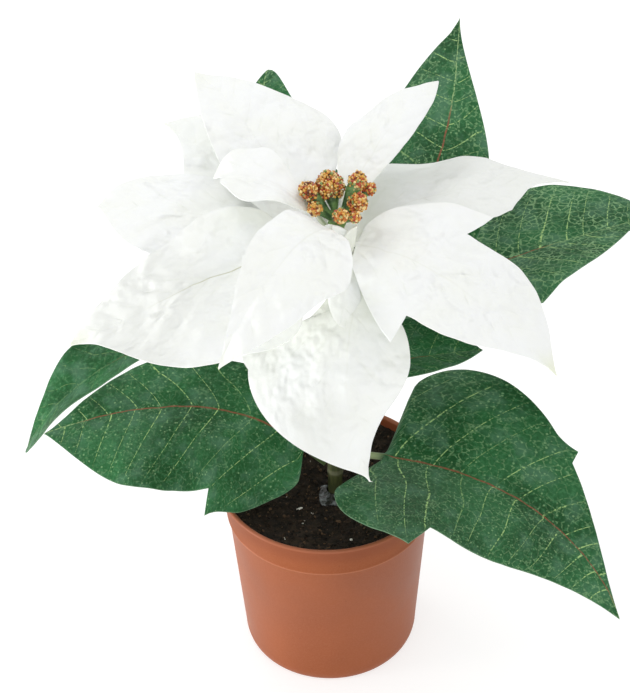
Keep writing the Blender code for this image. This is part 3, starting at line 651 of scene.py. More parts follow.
def leaf_under_material():
    """The back of a leaf, paler and duller, with plain veins."""
    shader = Shader("leaf_underside", 0.62)
    flat = shader.attribute("flat", "Vector")
    share = shader.attribute("share")
    cloud = shader.noise(flat, 18 * MM, 3.0)
    shader.base(shader.fade(cloud, 0.3, 0.7), (0.050, 0.130, 0.060), (0.085, 0.180, 0.095))
    vein = shader.fade(vein_distance(shader), 0.6 * MM, 0.25 * MM, 0.0, 0.5)
    shader.tint(vein, (0.20, 0.31, 0.15))
    from_midrib = shader.maths("ABSOLUTE", shader.attribute("out"))
    shader.tint(shader.fade(from_midrib, 1.2 * MM, 0.6 * MM, 0.0, 0.7), (0.22, 0.32, 0.15))
    stalk = shader.mix(shader.attribute("pale"), (0.055, 0.085, 0.025), PALE_STALK)
    shader.tint(shader.fade(share, 0.015, -0.03), stalk)
    shader.bump(shader.noise(flat, 0.7 * MM, 2.0), 0.08 * MM)
    return shader.material


def bract_veins(shader, flat):
    """How much of the wide, faint side veins shows, in patches near the midrib."""
    across = shader.maths("ABSOLUTE", shader.attribute("across"))
    line = shader.fade(vein_distance(shader), 2.0 * MM, 0.0)
    faint = shader.fade(shader.noise(flat, 11 * MM, 1.0), 0.42, 0.68)
    return shader.times(line, faint, shader.fade(across, 0.80, 0.30))


def bract_midrib(shader, flat, share):
    """How much of the midrib shows, a crease that wanders and ends before the tip."""
    drift = shader.maths("SUBTRACT", shader.noise(flat, 12 * MM, 1.0), 0.5)
    out = shader.maths("MULTIPLY_ADD", drift, 3.0 * MM, shader.attribute("out"))
    line = shader.fade(shader.maths("ABSOLUTE", out), 0.85 * MM, 0.05 * MM)
    return shader.times(line, shader.fade(share, 0.75, 0.30), shader.attribute("crease"))


def paint_bract(shader, flat, share, vein, midrib):
    """Paints the cloth white, tinted at its heart partly cream and partly with painted shade, with painted
    shade on the outer end and along the creased midrib, and tinted at its veins, tip and stalk.
    """
    cloud = shader.noise(flat, 22 * MM, 3.0)
    shader.base(shader.fade(cloud, 0.35, 0.65), (0.885, 0.900, 0.892), (0.878, 0.893, 0.858))
    # Partly the cloth's cream near the stem, partly painted olive shade in the folds round the stem.
    heart = shader.fade(shader.maths("SUBTRACT", shader.attribute("heart"), share), 0.0, 0.35, 0.0, 0.40)
    shader.tint(heart, (0.72, 0.74, 0.58))
    # Painted shade: grey over the outer part of the blade.
    outer_painted_shade = shader.times(shader.fade(share, 0.15, 0.50), shader.attribute("outer_painted_shade"))
    shader.tint(outer_painted_shade, (0.78, 0.795, 0.765))
    shader.tint(shader.times(vein, 0.08), (0.62, 0.65, 0.47))
    # Painted shade: darker olive along the creased midrib.
    shader.tint(shader.times(midrib, 0.75), (0.50, 0.50, 0.33))
    tip = shader.times(shader.fade(share, 0.84, 1.0), shader.attribute("green_tip"))
    shader.tint(shader.times(tip, 0.5), (0.72, 0.76, 0.50))
    shader.tint(shader.fade(share, 0.03, -0.05, 0.0, 0.6), (0.60, 0.66, 0.45))


def bract_folds(shader, flat, share):
    """The normal of soft folds with puckers on them, calmer towards the tip."""
    calm = shader.fade(share, 0.55, 0.90, 1.0, 0.30)
    waves = shader.maths("SUBTRACT", shader.noise(flat, 17 * MM, 1.0), 0.5)
    folds = shader.bump(shader.times(waves, calm), 4.0 * MM)
    pucker = shader.maths("SUBTRACT", shader.noise(flat, 6.5 * MM, 1.0, 0.5), 0.5)
    patch = shader.fade(shader.noise(flat, 20 * MM, 1.0), 0.40, 0.62, 0.35, 1.0)
    return shader.bump(shader.times(pucker, patch, calm), 2.4 * MM, folds)


def bract_material():
    """White cloth, creamy near the stem with painted olive shade there as well, with faint veins, a
    creased midrib darkened by painted shade, and soft folds.
    """
    shader = Shader("bract_fabric", 0.75)
    flat = shader.attribute("flat", "Vector")
    share = shader.attribute("share")
    vein = bract_veins(shader, flat)
    midrib = bract_midrib(shader, flat, share)
    paint_bract(shader, flat, share, vein, midrib)
    shader.set("Specular IOR Level", 0.20)
    shader.set("Sheen Weight", 0.1)
    shader.set("Subsurface Weight", 0.2)
    shader.set("Subsurface Radius", (1.0, 1.0, 0.9))
    shader.set("Subsurface Scale", 1.2 * MM)
    veins = shader.bump(shader.times(vein, -1.0), 0.15 * MM, bract_folds(shader, flat, share))
    ridge = shader.bump(shader.times(midrib, -1.0), 0.25 * MM, veins)
    shader.bump(shader.noise(flat, 0.8 * MM, 1.0), 0.05 * MM, ridge)
    return shader.material


def floret_green_material():
    """Fleshy green stalks, streaked, and paler near their foot."""
    shader = Shader("floret_green", 0.45)
    place = shader.place()
    cloud = shader.noise(place, 5 * MM, 2.0)
    shader.base(shader.fade(cloud, 0.40, 0.62), (0.040, 0.100, 0.030), (0.150, 0.285, 0.085))
    streak = shader.noise(place, 1.1 * MM, 2.0)
    shader.tint(shader.fade(streak, 0.5, 0.7, 0.0, 0.35), (0.20, 0.32, 0.13))
    low = shader.fade(shader.height(place), STEM_TOP_Z + 8 * MM, STEM_TOP_Z + 1 * MM)
    shader.tint(low, (0.24, 0.40, 0.10))
    shader.bump(streak, 0.15 * MM)
    return shader.material


def bead_material():
    """Beads run from green through pale yellow, ochre and orange to red and brown, by their tone."""
    shader = Shader("floret_bead", 0.30)
    tone = shader.attribute("tone")
    shader.base(shader.fade(tone, 0.06, 0.09), (0.22, 0.30, 0.09), (0.88, 0.66, 0.28))
    shader.tint(shader.fade(tone, 0.28, 0.33), (0.70, 0.37, 0.060))
    shader.tint(shader.fade(tone, 0.56, 0.61), (0.62, 0.19, 0.028))
    shader.tint(shader.fade(tone, 0.74, 0.79), (0.42, 0.055, 0.020))
    shader.tint(shader.fade(tone, 0.90, 0.94), (0.15, 0.040, 0.014))
    shader.set("Coat Weight", 0.35)
    shader.bump(shader.noise(shader.place(), 0.5 * MM, 1.0), 0.08 * MM)
    return shader.material


def floor_material():
    """A pale floor that glows a little, so that the plant's shadow on it stays faint."""
    shader = Shader("pale_floor", 0.8)
    shader.set("Base Color", (0.50, 0.50, 0.50))
    shader.set("Specular IOR Level", 0.1)
    shader.set("Emission Color", (1.0, 1.0, 1.0))
    shader.set("Emission Strength", 0.64)
    return shader.material


def add_object(name, data):
    """A new object in the scene with this mesh, camera or light."""
    obj = bpy.data.objects.new(name, data)
    bpy.context.scene.collection.objects.link(obj)
    return obj


def add_mesh(name, points, faces, materials):
    """One mesh object from points and faces, with its faces turned outwards."""
    mesh = bpy.data.meshes.new(name)
    mesh.from_pydata(np.asarray(points, dtype=float).tolist(), [], faces)
    solid = bmesh.new()
    solid.from_mesh(mesh)
    bmesh.ops.recalc_face_normals(solid, faces=solid.faces)
    solid.to_mesh(mesh)
    solid.free()
    for material in materials:
        mesh.materials.append(material)
    return add_object(name, mesh)


def add_values(obj, name, values):
    """Stores one number, or one vector, for each point of the mesh."""
    values = np.asarray(values, dtype=np.float32)
    kind, field = ("FLOAT_VECTOR", "vector") if values.ndim == 2 else ("FLOAT", "value")
    attribute = obj.data.attributes.new(name, kind, "POINT")
    attribute.data.foreach_set(field, values.ravel())


def shade_round(obj, edge_angle):
    """Shades the mesh as rounded, but for edges sharper than this angle."""
    obj.data.shade_smooth()
    obj.data.set_sharp_from_angle(angle=math.radians(edge_angle))


def stand_for(obj, slot, *nodes):
    """Puts a piece on the frame in place of its nodes."""
    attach(obj, "root")
    if nodes:
        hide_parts(*nodes)


def join_rings(rings, closed_start=True, closed_end=True):
    """Points and faces of a body that runs through rings of equally many points."""
    count = len(rings[0])
    points = np.concatenate([np.asarray(ring, dtype=float) for ring in rings])
    faces = []
    for row in range(len(rings) - 1):
        for k in range(count):
            a = row * count + k
            b = row * count + (k + 1) % count
            faces.append((a, b, b + count, a + count))
    if closed_start:
        faces.append(tuple(reversed(range(count))))
    if closed_end:
        faces.append(tuple(range(len(points) - count, len(points))))
    return points, faces


def merge(bodies):
    """Points and faces of several bodies in one list each."""
    points, faces = [], []
    for body, body_faces in bodies:
        faces += [tuple(len(points) + corner for corner in face) for face in body_faces]
        points += body.tolist()
    return points, faces


def apply_modifiers(obj):
    """Puts the finished mesh in place of the object's first one."""
    bpy.context.view_layer.update()
    graph = bpy.context.evaluated_depsgraph_get()
    finished = bpy.data.meshes.new_from_object(obj.evaluated_get(graph))
    obj.modifiers.clear()
    obj.data = finished


def circle(radius, height, sides, centre=(0.0, 0.0)):
    """A level ring of points."""
    turns = 2 * math.pi * np.arange(sides) / sides
    radius = np.broadcast_to(radius, turns.shape)
    height = np.broadcast_to(height, turns.shape)
    return np.stack([centre[0] + radius * np.cos(turns), centre[1] + radius * np.sin(turns), height], 1)


def three_values(values, share):
    """A smooth run through values at the base, middle and tip."""
    base, middle, tip = values
    at_base = (2 * share - 1) * (share - 1)
    at_middle = 4 * share * (1 - share)
    at_tip = share * (2 * share - 1)
    return base * at_base + middle * at_middle + tip * at_tip


def ease(value):
    """A smooth step from 0 to 1."""
    value = np.clip(value, 0, 1)
    return value * value * (3 - 2 * value)


def stem_share(height):
    """0 at the stem's foot and 1 at its top."""
    return (height - STEM_FOOT_Z) / (STEM_TOP_Z - STEM_FOOT_Z)


def stem_x(height):
    """The stem leans, so that its middle moves along X with the height."""
    return STEM_FOOT_X + (STEM_TOP_X - STEM_FOOT_X) * stem_share(height)


def stem_radius(height):
    return STEM_FOOT_RADIUS + (STEM_TOP_RADIUS - STEM_FOOT_RADIUS) * stem_share(height)


class Midrib:
    """The line that a blade follows from the stem, with the blade's own directions along it."""

    STEPS = 240

    def __init__(self, blade):
        u = np.linspace(-blade.stalk, blade.length, self.STEPS)
        share = np.clip(u / blade.length, 0, 1)
        along_stalk = ease((u + blade.stalk) / blade.stalk)
        on_stalk = blade.stalk_pitch + (blade.pitch[0] - blade.stalk_pitch) * along_stalk
        pitch = np.radians(np.where(u < 0, on_stalk, three_values(blade.pitch, share)))
        heading = np.radians(three_values(blade.heading, share))
        roll = np.radians(blade.roll[0] + (blade.roll[1] - blade.roll[0]) * share) * along_stalk
        forward = np.stack(
            [np.cos(pitch) * np.cos(heading), np.cos(pitch) * np.sin(heading), np.sin(pitch)], 1
        )
        level = np.stack([-np.sin(heading), np.cos(heading), 0 * heading], 1)
        normal = np.cross(forward, level)
        turn_cos, turn_sin = np.cos(roll)[:, None], np.sin(roll)[:, None]
        self.u = u
        self.forward = forward
        self.left = level * turn_cos + normal * turn_sin
        self.up = normal * turn_cos - level * turn_sin
        steps = np.diff(u)[:, None] * (forward[1:] + forward[:-1]) / 2
        self.points = np.vstack([self.root(blade), self.root(blade) + np.cumsum(steps, 0)])

    @staticmethod
    def root(blade):
        """Where the stalk starts, just outside the stem."""
        heading = math.radians(blade.heading[0])
        tilt = abs(math.sin(math.radians(blade.stalk_pitch)))
        reach = stem_radius(blade.root_z) + GAP + blade.stalk_radius * tilt
        out = (math.cos(heading), math.sin(heading))
        return np.array([stem_x(blade.root_z) + reach * out[0], reach * out[1], blade.root_z])

    def at(self, values, u):
        """Points or directions of the line at these distances along it."""
        return np.stack([np.interp(u, self.u, values[:, axis]) for axis in range(3)], -1)


def half_widths(blade, shares, side):
    """Length of the side rib that leaves the midrib at each share of the blade."""
    swell, *tapers = blade.fullness
    taper = tapers[side]
    widest = swell / (swell + taper)
    claw_share, claw_width = blade.claw
    along = np.maximum(shares - claw_share, 0) / (1 - claw_share)
    peak = widest**swell * (1 - widest) ** taper
    widths = blade.width[side] * along**swell * np.maximum(1 - along, 0) ** taper / peak
    claw = np.maximum(widths, claw_width * ease(shares / STALK_BLEND))
    widths = np.where(claw_share > shares - CLAW_BLEND, claw, widths)
    for tooth_side, place, rise, fall, height in blade.teeth:
        if tooth_side != side:
            continue
        climb = np.clip(1 - (place - shares) / rise, 0, 1) ** TOOTH_BULGE
        drop = np.clip(1 - (shares - place) / fall, 0, 1)
        widths = widths + height * np.where(shares <= place, climb, drop)
    return widths


def blade_sheet(blade, midrib, shares, across, relief):
    """The blade's middle surface: a grid of points, its directions up, rib lengths and distances along."""
    side = (across < 0).astype(int)
    widths = np.stack([half_widths(blade, shares, 0), half_widths(blade, shares, 1)], 1)
    rib = widths[:, side] * np.abs(across)[None, :]
    base_sweep = np.array(blade.sweep[:2])[side][None, :]
    sweep = blade.sweep[2]
    slant = np.radians(base_sweep + (sweep - base_sweep) * ease(shares / SWEEP_SHARE)[:, None])
    u = shares[:, None] * blade.length + np.sin(slant) * rib
    out = np.cos(slant) * rib
    widest = max(blade.width)
    fold = math.radians(blade.fold)
    bend = math.radians(blade.curl) / widest
    y = (math.sin(fold) - np.sin(fold - bend * out)) / bend
    z = (np.cos(fold - bend * out) - math.cos(fold)) / bend
    height, count, phase = blade.wave
    turn = 2 * math.pi * count * u / blade.length + phase + WAVE_SHIFT * side[None, :]
    z += height * (out / widest) ** 2 * np.sin(turn) + relief(shares, across, u, out)
    on_line = np.clip(u, -blade.stalk, blade.length)
    place = midrib.at(midrib.points, on_line)
    place += (u - on_line)[..., None] * midrib.at(midrib.forward, on_line)
    left = midrib.at(midrib.left, on_line)
    up = midrib.at(midrib.up, on_line)
    signed = np.where(side[None, :] == 0, y, -y)
    points = place + signed[..., None] * left + z[..., None] * up
    return points, up, rib, u


def blade_shares(blade):
    """Shares of the length at which the fine blade gets a rib, with one at each tooth."""
    shares = list(np.concatenate([[0.002, 0.006, 0.012], np.linspace(0.02, 0.992, BLADE_STATIONS)]))
    for _, place, _, fall, _ in blade.teeth:
        shares += [place, place + fall]
    return np.unique(np.round(shares, 4))


def stalk_ring(blade, midrib, u, count):
    """A round ring with the points of a blade's ring: upper points first, left to right."""
    centre = midrib.at(midrib.points, u)
    left, up = midrib.at(midrib.left, u), midrib.at(midrib.up, u)
    angles = math.pi * (np.arange(2 * count) + 0.5) / count
    return centre + blade.stalk_radius * (np.cos(angles)[:, None] * left + np.sin(angles)[:, None] * up)


def stalk_rings(blade, midrib, count):
    """Rings along the stalk, with their values in the order of point_values."""
    rings, values = [], []
    for u in np.linspace(-blade.stalk, 0, STALK_STATIONS, endpoint=False):
        rings.append(stalk_ring(blade, midrib, u, count))
        values.append(np.tile([u / blade.length, 0, 0, 0, BLADE_THICKNESS, u], (2 * count, 1)))
    return rings, values


def blade_rings(blade, midrib, shares, across, middle, up):
    """Rings round the blade's middle surface. The first ones grow out of the stalk."""
    half = BLADE_THICKNESS / 2 * (1 - EDGE_THINNING * np.abs(across) ** 4)
    keel = BLADE_KEEL * np.exp(-((across * KEEL_SHARPNESS) ** 2))
    rings = []
    for row, share in enumerate(shares):
        top = middle[row] + half[:, None] * up[row]
        low = middle[row] - (half + keel * (1 - share))[:, None] * up[row]
        ring = np.concatenate([top, low[::-1]])
        blend = float(ease(share / STALK_BLEND))
        if blend < 1:
            stalk = stalk_ring(blade, midrib, share * blade.length, len(across))
            ring = (1 - blend) * stalk + blend * ring
        rings.append(ring)
    return rings


def point_values(shares, across, rib, vein, u):
    """For each ring its points' share, across, out, vein, margin and distance along the blade."""
    away = np.abs(across)
    out = rib * np.where(across < 0, -1, 1)
    margin = rib / np.maximum(away, 0.05) * (1 - away)
    share_grid, across_grid = np.broadcast_arrays(shares[:, None], across[None, :])
    top = np.stack([share_grid, across_grid, out, vein, margin, u], 2)
    return np.concatenate([top, top[:, ::-1]], 1)


def close_tip(points, faces, ring_size, tip_point):
    """Closes the last ring with a fan of triangles round one more point."""
    tip = len(points)
    last = tip - ring_size
    faces = faces + [(last + k, last + (k + 1) % ring_size, tip) for k in range(ring_size)]
    return np.vstack([points, tip_point]), faces


def store_values(obj, values, seed, looks):
    """Stores where each point lies on the flat blade, and the blade's own looks."""
    for column, name in enumerate(("share", "across", "out", "vein", "margin")):
        add_values(obj, name, values[:, column])
    along, out = values[:, 5], values[:, 2]
    add_values(obj, "flat", np.stack([along, out, np.full(len(values), seed)], 1))
    for name, value in looks.items():
        add_values(obj, name, np.full(len(values), value))


def vein_place(blade, u, out, side, slants, seed):
    """Whole multiples of VEIN_SPACING lie on side veins, which arch forward towards the margin."""
    reach = out / max(blade.width)
    start = (u - np.take(slants, side) * out - VEIN_ARCH * out * reach) / blade.length
    closer = start + VEIN_CROWDING * start**2
    uneven = 0.014 * np.sin(21 * closer + seed + 2 * side) + 0.009 * np.sin(47 * closer + 3 * seed)
    shift = seed - (0.15 + 0.40 * side) * ease(reach / 0.45)
    return (closer + uneven) * blade.length + shift * VEIN_SPACING


def cloth_relief(blade, cloth, slants, seed):
    """How far the cloth of a blade stands above or below its smooth form."""

    def relief(shares, across, u, out):
        side = np.where(across < 0, 1, 0)[None, :]
        vein = vein_place(blade, u, out, side, slants, seed) / VEIN_SPACING
        pillow = 1 - (1 - 2 * np.abs(vein - np.round(vein))) ** 2
        inside = ease(np.abs(across) * 4) * ease((1 - np.abs(across)) * 5)
        height = cloth.quilt * (pillow - 0.6) * inside[None, :]
        signed = out * (1 - 2 * side)
        drift = Vector((0, 0, 7.3 * seed))
        for place in np.ndindex(u.shape):
            spot = Vector((u[place], signed[place], 0))
            height[place] += cloth.crumple * noise.fractal(spot / cloth.crumple_size + drift, 0.9, 2.1, 3)
            height[place] += cloth.pucker * noise.noise(spot / cloth.pucker_size + 2 * drift)
        return height * ease(shares / 0.12)[:, None]

    return relief


def add_blade(name, blade, cloth, materials, seed, looks):
    """A leaf or bract as a fine closed sheet, with the values that its material reads."""
    midrib = Midrib(blade)
    count = 2 * SIDE_RIBS + 1
    across = 1 - np.arange(count) / SIDE_RIBS
    side = np.where(across < 0, 1, 0)[None, :]
    shares = blade_shares(blade)
    slants = VEIN_SLANTS.get(name, (cloth.slant, cloth.slant))
    relief = cloth_relief(blade, cloth, slants, seed)
    middle, up, rib, u = blade_sheet(blade, midrib, shares, across, relief)
    vein = vein_place(blade, u, rib, side, slants, seed)
    rings, values = stalk_rings(blade, midrib, count)
    rings += blade_rings(blade, midrib, shares, across, middle, up)
    values += list(point_values(shares, across, rib, vein, u))
    values.append([[1.0, 0, 0, vein[-1][SIDE_RIBS], 0, blade.length]])
    points, faces = join_rings(rings, True, False)
    points, faces = close_tip(points, faces, 2 * count, midrib.at(midrib.points, blade.length))
    obj = add_mesh(name + "_cloth", points, faces, materials)
    store_values(obj, np.concatenate(values), seed, looks)
    if len(materials) > 1:
        turn_undersides(obj, count)
    shade_round(obj, 60)
    return obj


def turn_undersides(obj, count):
    """Gives the faces between a blade's lower points the second material."""
    ring = 2 * count
    for face in obj.data.polygons:
        places = [corner % ring for corner in face.vertices if corner < len(obj.data.vertices) - 1]
        if min(places) >= count:
            face.material_index = 1


def pot_profile():
    """Radius and height up the pot's outside, over its lip and down its inside."""
    foot_width = POT_BODY_FOOT_RADIUS - POT_UNDERSIDE_RADIUS
    profile = []
    for k in range(FOOT_ARC_STEPS + 1):
        turn = math.pi / 2 * k / FOOT_ARC_STEPS
        radius = POT_UNDERSIDE_RADIUS + foot_width * math.sin(turn)
        profile.append((radius, POT_FOOT_HEIGHT * (1 - math.cos(turn))))
    profile += [
        (POT_BODY_TOP_RADIUS - 0.05 * MM, BAND_FOOT - 0.4 * MM),
        (POT_BODY_TOP_RADIUS + 0.3 * MM, BAND_FOOT),
        (POT_BAND_LOWER_RADIUS + 0.2 * MM, BAND_FOOT + 0.4 * BAND_STEP),
        (POT_BAND_LOWER_RADIUS + 0.6 * MM, BAND_FOOT + BAND_STEP),
        (POT_BAND_LOWER_RADIUS + 0.6 * MM, BAND_FOOT + 1.7 * BAND_STEP),
        (POT_BAND_LOWER_RADIUS + 0.2 * MM, BAND_FOOT + 2.6 * BAND_STEP),
    ]
    lip = POT_LIP / 2
    for k in range(LIP_STEPS + 1):
        turn = math.pi * k / LIP_STEPS
        radius = POT_TOP_RADIUS - lip + lip * math.cos(turn)
        profile.append((radius, POT_HEIGHT - lip + lip * math.sin(turn)))
    profile += [
        (POT_BAND_LOWER_RADIUS - POT_WALL, BAND_FOOT + POT_WALL),
        (POT_BODY_TOP_RADIUS - POT_WALL, BAND_FOOT),
        (POT_BODY_FOOT_RADIUS - POT_WALL, POT_FOOT_HEIGHT),
        (POT_UNDERSIDE_RADIUS, POT_FLOOR),
    ]
    return profile


def add_pot(finish):
    """The pot, smoother than in the frame, with a rounded lip."""
    rings = [circle(radius, height, POT_SIDES) for radius, height in pot_profile()]
    points, faces = join_rings(rings)
    pot = add_mesh("pot_shell", points, faces, [finish])
    cut_drain_holes(pot, finish)
    shade_round(pot, 50)
    for face in pot.data.polygons:
        face.use_smooth = abs(face.normal.z) < 0.999
    stand_for(pot, "terracotta", "pot")


def cut_drain_holes(pot, finish):
    """Cuts a ring of round holes through the pot's floor."""
    rods = []
    for k in range(DRAIN_HOLES):
        angle = 2 * math.pi * (k + 0.5) / DRAIN_HOLES
        centre = (DRAIN_RING_RADIUS * math.cos(angle), DRAIN_RING_RADIUS * math.sin(angle))
        low = circle(DRAIN_HOLE_RADIUS, -POT_FLOOR, DRAIN_HOLE_SIDES, centre)
        high = circle(DRAIN_HOLE_RADIUS, 2 * POT_FLOOR, DRAIN_HOLE_SIDES, centre)
        rods.append(join_rings([low, high]))
    cutter = add_mesh("drain_holes", *merge(rods), [finish])
    cut = pot.modifiers.new("cut", "BOOLEAN")
    cut.operation = "DIFFERENCE"
    cut.object = cutter
    apply_modifiers(pot)
    bpy.data.objects.remove(cutter)


def soil_radius(height):
    """Inner radius of the pot at this height, less the clearance."""
    lip_foot = POT_HEIGHT - POT_LIP / 2
    heights = [POT_FLOOR, POT_FOOT_HEIGHT, BAND_FOOT, BAND_FOOT + POT_WALL, lip_foot]
    radii = [
        POT_UNDERSIDE_RADIUS,
        POT_BODY_FOOT_RADIUS - POT_WALL,
        POT_BODY_TOP_RADIUS - POT_WALL,
        POT_BAND_LOWER_RADIUS - POT_WALL,
        POT_TOP_RADIUS - POT_LIP,
    ]
    return float(np.interp(height, heights, radii)) - GAP


def soil_height(x, y):
    """The soil's uneven surface, banked up to the wall and crumbly at every size."""
    reach = math.hypot(x, y) / soil_radius(SOIL_TOP + SOIL_BANK)
    ripples = [math.sin(a * x + b * y + phase) for a, b, phase in SOIL_RIPPLES]
    crumbs = noise.fractal(Vector((x, y, 0)) / (4.5 * MM), 0.6, 2.2, 4)
    level = SOIL_TOP + SOIL_BANK * reach**2
    return level + SOIL_RELIEF * sum(ripples) / len(ripples) * max(1 - reach**4, 0) + 0.7 * MM * crumbs


def add_soil(finish):
    """The bed of soil that fills the pot, with a hole for the stem."""
    rings = [circle(POT_UNDERSIDE_RADIUS - 2 * GAP, POT_FLOOR + GAP, SOIL_SIDES)]
    for height in (POT_FOOT_HEIGHT, BAND_FOOT, BAND_FOOT + POT_WALL):
        rings.append(circle(soil_radius(height), height, SOIL_SIDES))
    outer = circle(soil_radius(SOIL_TOP + SOIL_BANK) - 0.1 * MM, 0.0, SOIL_SIDES)
    centre = (stem_x(SOIL_TOP), 0.0)
    inner = circle(STEM_FOOT_RADIUS + GAP, 0.0, SOIL_SIDES, centre)
    for k in range(SOIL_RINGS):
        share = k / (SOIL_RINGS - 1)
        ring = outer * (1 - share) + inner * share
        ring[:, 2] = [soil_height(x, y) for x, y, _ in ring]
        rings.append(ring)
    rings.append(circle(STEM_FOOT_RADIUS + GAP, STEM_FOOT_Z - GAP, SOIL_SIDES, centre))
    points, faces = join_rings(rings)
    soil = add_mesh("soil_bed", points, faces, [finish])
    shade_round(soil, 180)
    stand_for(soil, "soil", "soil")


def lump(radius, subdivisions=1):
    """Points and faces of a small ball."""
    solid = bmesh.new()
    bmesh.ops.create_icosphere(solid, subdivisions=subdivisions, radius=radius)
    points = np.array([corner.co for corner in solid.verts])
    faces = [tuple(corner.index for corner in face.verts) for face in solid.faces]
    solid.free()
    return points, faces


def scatter(name, lumps, materials):
    """Joins many small bodies, each (points, faces, tone), into one mesh with their tones."""
    points, faces = merge([(body, body_faces) for body, body_faces, _ in lumps])
    obj = add_mesh(name, points, faces, materials)
    add_values(obj, "tone", np.concatenate([np.full(len(body), tone) for body, _, tone in lumps]))
    return obj


def rough_grain(draw, ball):
    """The ball turned, stretched and dented."""
    spin = Matrix.Rotation(draw.uniform(0, 6.28), 3, "Z")
    tilt = Matrix.Rotation(draw.uniform(0, 3.14), 3, "X")
    stretch = np.array([draw.uniform(0.7, 1.6), draw.uniform(0.6, 1.0), draw.uniform(0.5, 0.9)])
    dents = 1 + 0.25 * np.array([draw.uniform(-1, 1) for _ in ball])[:, None]
    return (ball * dents * stretch) @ np.array(spin @ tilt).T


def add_soil_grains(finish):
    """Loose crumbs, bark and a few pale grains that lie on the soil."""
    draw = random.Random(11)
    ball, ball_faces = lump(1.0)
    lumps = []
    centre_x = stem_x(SOIL_TOP)
    limit = soil_radius(SOIL_TOP + SOIL_BANK) - 1.2 * MM
    while len(lumps) < SOIL_GRAINS:
        reach = limit * math.sqrt(draw.random())
        angle = draw.uniform(0, 2 * math.pi)
        x, y = reach * math.cos(angle), reach * math.sin(angle)
        if math.hypot(x - centre_x, y) < STEM_FOOT_RADIUS + 1 * MM:
            continue
        size = 0.35 * MM + 0.75 * MM * draw.random() ** 3
        tone = draw.random()
        body = size * rough_grain(draw, ball)
        height = soil_height(x, y) + 0.25 * size
        lumps.append((body + np.array([x, y, height]), ball_faces, tone))
    lumps.append(sliver(ball, ball_faces))
    grains = scatter("soil_grains", lumps, [finish])
    stand_for(grains, "soil")


def sliver(ball, ball_faces):
    """The one white sliver that lies on the soil in front of the stem."""
    x, y = SLIVER_PLACE
    body = ball * np.array([2.0, 0.75, 0.5]) * MM
    turn = np.array(Matrix.Rotation(math.radians(25), 3, "Z"))
    place = np.array([x, y, soil_height(x, y) + 0.6 * MM])
    return body @ turn.T + place, ball_faces, 1.0


def near_joint(height, joints, length):
    """1 at a joint, falling off within this length above and below it."""
    return min(sum(math.exp(-(((height - joint) / length) ** 2)) for joint in joints), 1)


def add_stem(finish):
    """The stem with a swollen, scarred ring at each leaf."""
    joints = [leaf.root_z for leaf in LEAVES.values()] + [BARE_JOINT_Z]
    turns = 2 * math.pi * np.arange(STEM_SIDES) / STEM_SIDES
    rings, scars, youths = [], [], []
    for height in np.linspace(STEM_FOOT_Z, STEM_TOP_Z, STEM_STATIONS):
        swell = near_joint(height, joints, STEM_JOINT_LENGTH)
        scar = near_joint(height + SCAR_DROP, joints, SCAR_LENGTH)
        furrows = sum(depth * np.sin(count * turns + twist * height) for depth, count, twist in FURROWS)
        bark = STEM_JOINT_SWELL * (swell - 1) + SCAR_HEIGHT * (scar - 1) + furrows
        rings.append(circle(stem_radius(height) + bark, height, STEM_SIDES, (stem_x(height), 0.0)))
        scars += [scar * 0.55] * STEM_SIDES
        youths += [float(ease((height - YOUNG_FROM_Z) / YOUNG_LENGTH)) * 0.7] * STEM_SIDES
    points, faces = join_rings(rings)
    stem = add_mesh("stem_bark", points, faces, [finish])
    add_values(stem, "scar", scars)
    add_values(stem, "youth", youths)
    shade_round(stem, 60)
    stand_for(stem, "stem", "stem")


def add_glue(finish):
    """The smear of set glue round the stem's foot, run out further to the front and left."""
    centre = (stem_x(SOIL_TOP), 0.0)
    turns = 2 * math.pi * np.arange(GLUE_SIDES) / GLUE_SIDES
    lobes = sum(size * np.sin(count * turns + phase) for size, count, phase in GLUE_LOBES)
    drift = GLUE_DRIFT[0] * np.cos(turns) + GLUE_DRIFT[1] * np.sin(turns)
    outline = GLUE_RADIUS * (1 + lobes) + drift
    inner = STEM_FOOT_RADIUS + GAP / 2
    low = SOIL_TOP + 0.2 * MM
    rings = [circle(inner, low, GLUE_SIDES, centre), circle(outline, low, GLUE_SIDES, centre)]
    for k in range(GLUE_RINGS):
        share = k / (GLUE_RINGS - 1)
        radius = outline * (1 - share) + inner * share
        rise = low + 0.8 * MM + GLUE_HEIGHT * share**2.2
        ring = circle(radius, rise, GLUE_SIDES, centre)
        ring[:, 2] += [0.35 * MM * noise.noise(Vector(point) / (2.2 * MM)) for point in ring]
        rings.append(ring)
    points, faces = join_rings(rings, False, False)
    last = (len(rings) - 1) * GLUE_SIDES
    for k in range(GLUE_SIDES):
        after = (k + 1) % GLUE_SIDES
        faces.append((last + k, last + after, after, k))
    glue = add_mesh("glue_smear", points, faces, [finish])
    shade_round(glue, 60)
    stand_for(glue, "glue", "glue_collar")


def floret_start():
    """The point in the foot from which the stalks run to their heads."""
    return Vector((STEM_TOP_X, 0.0, STEM_TOP_Z + GAP + FOOT_HEIGHT / 2))


def floret_foot():
    """Points and faces of the foot from which the stalks grow."""
    foot = Vector((STEM_TOP_X, 0.0, STEM_TOP_Z + GAP))
    rings = [
        circle(radius, foot.z + FOOT_HEIGHT * k / 2, CUP_SIDES, (foot.x, foot.y))
        for k, radius in enumerate(FOOT_RADII)
    ]
    return join_rings(rings)


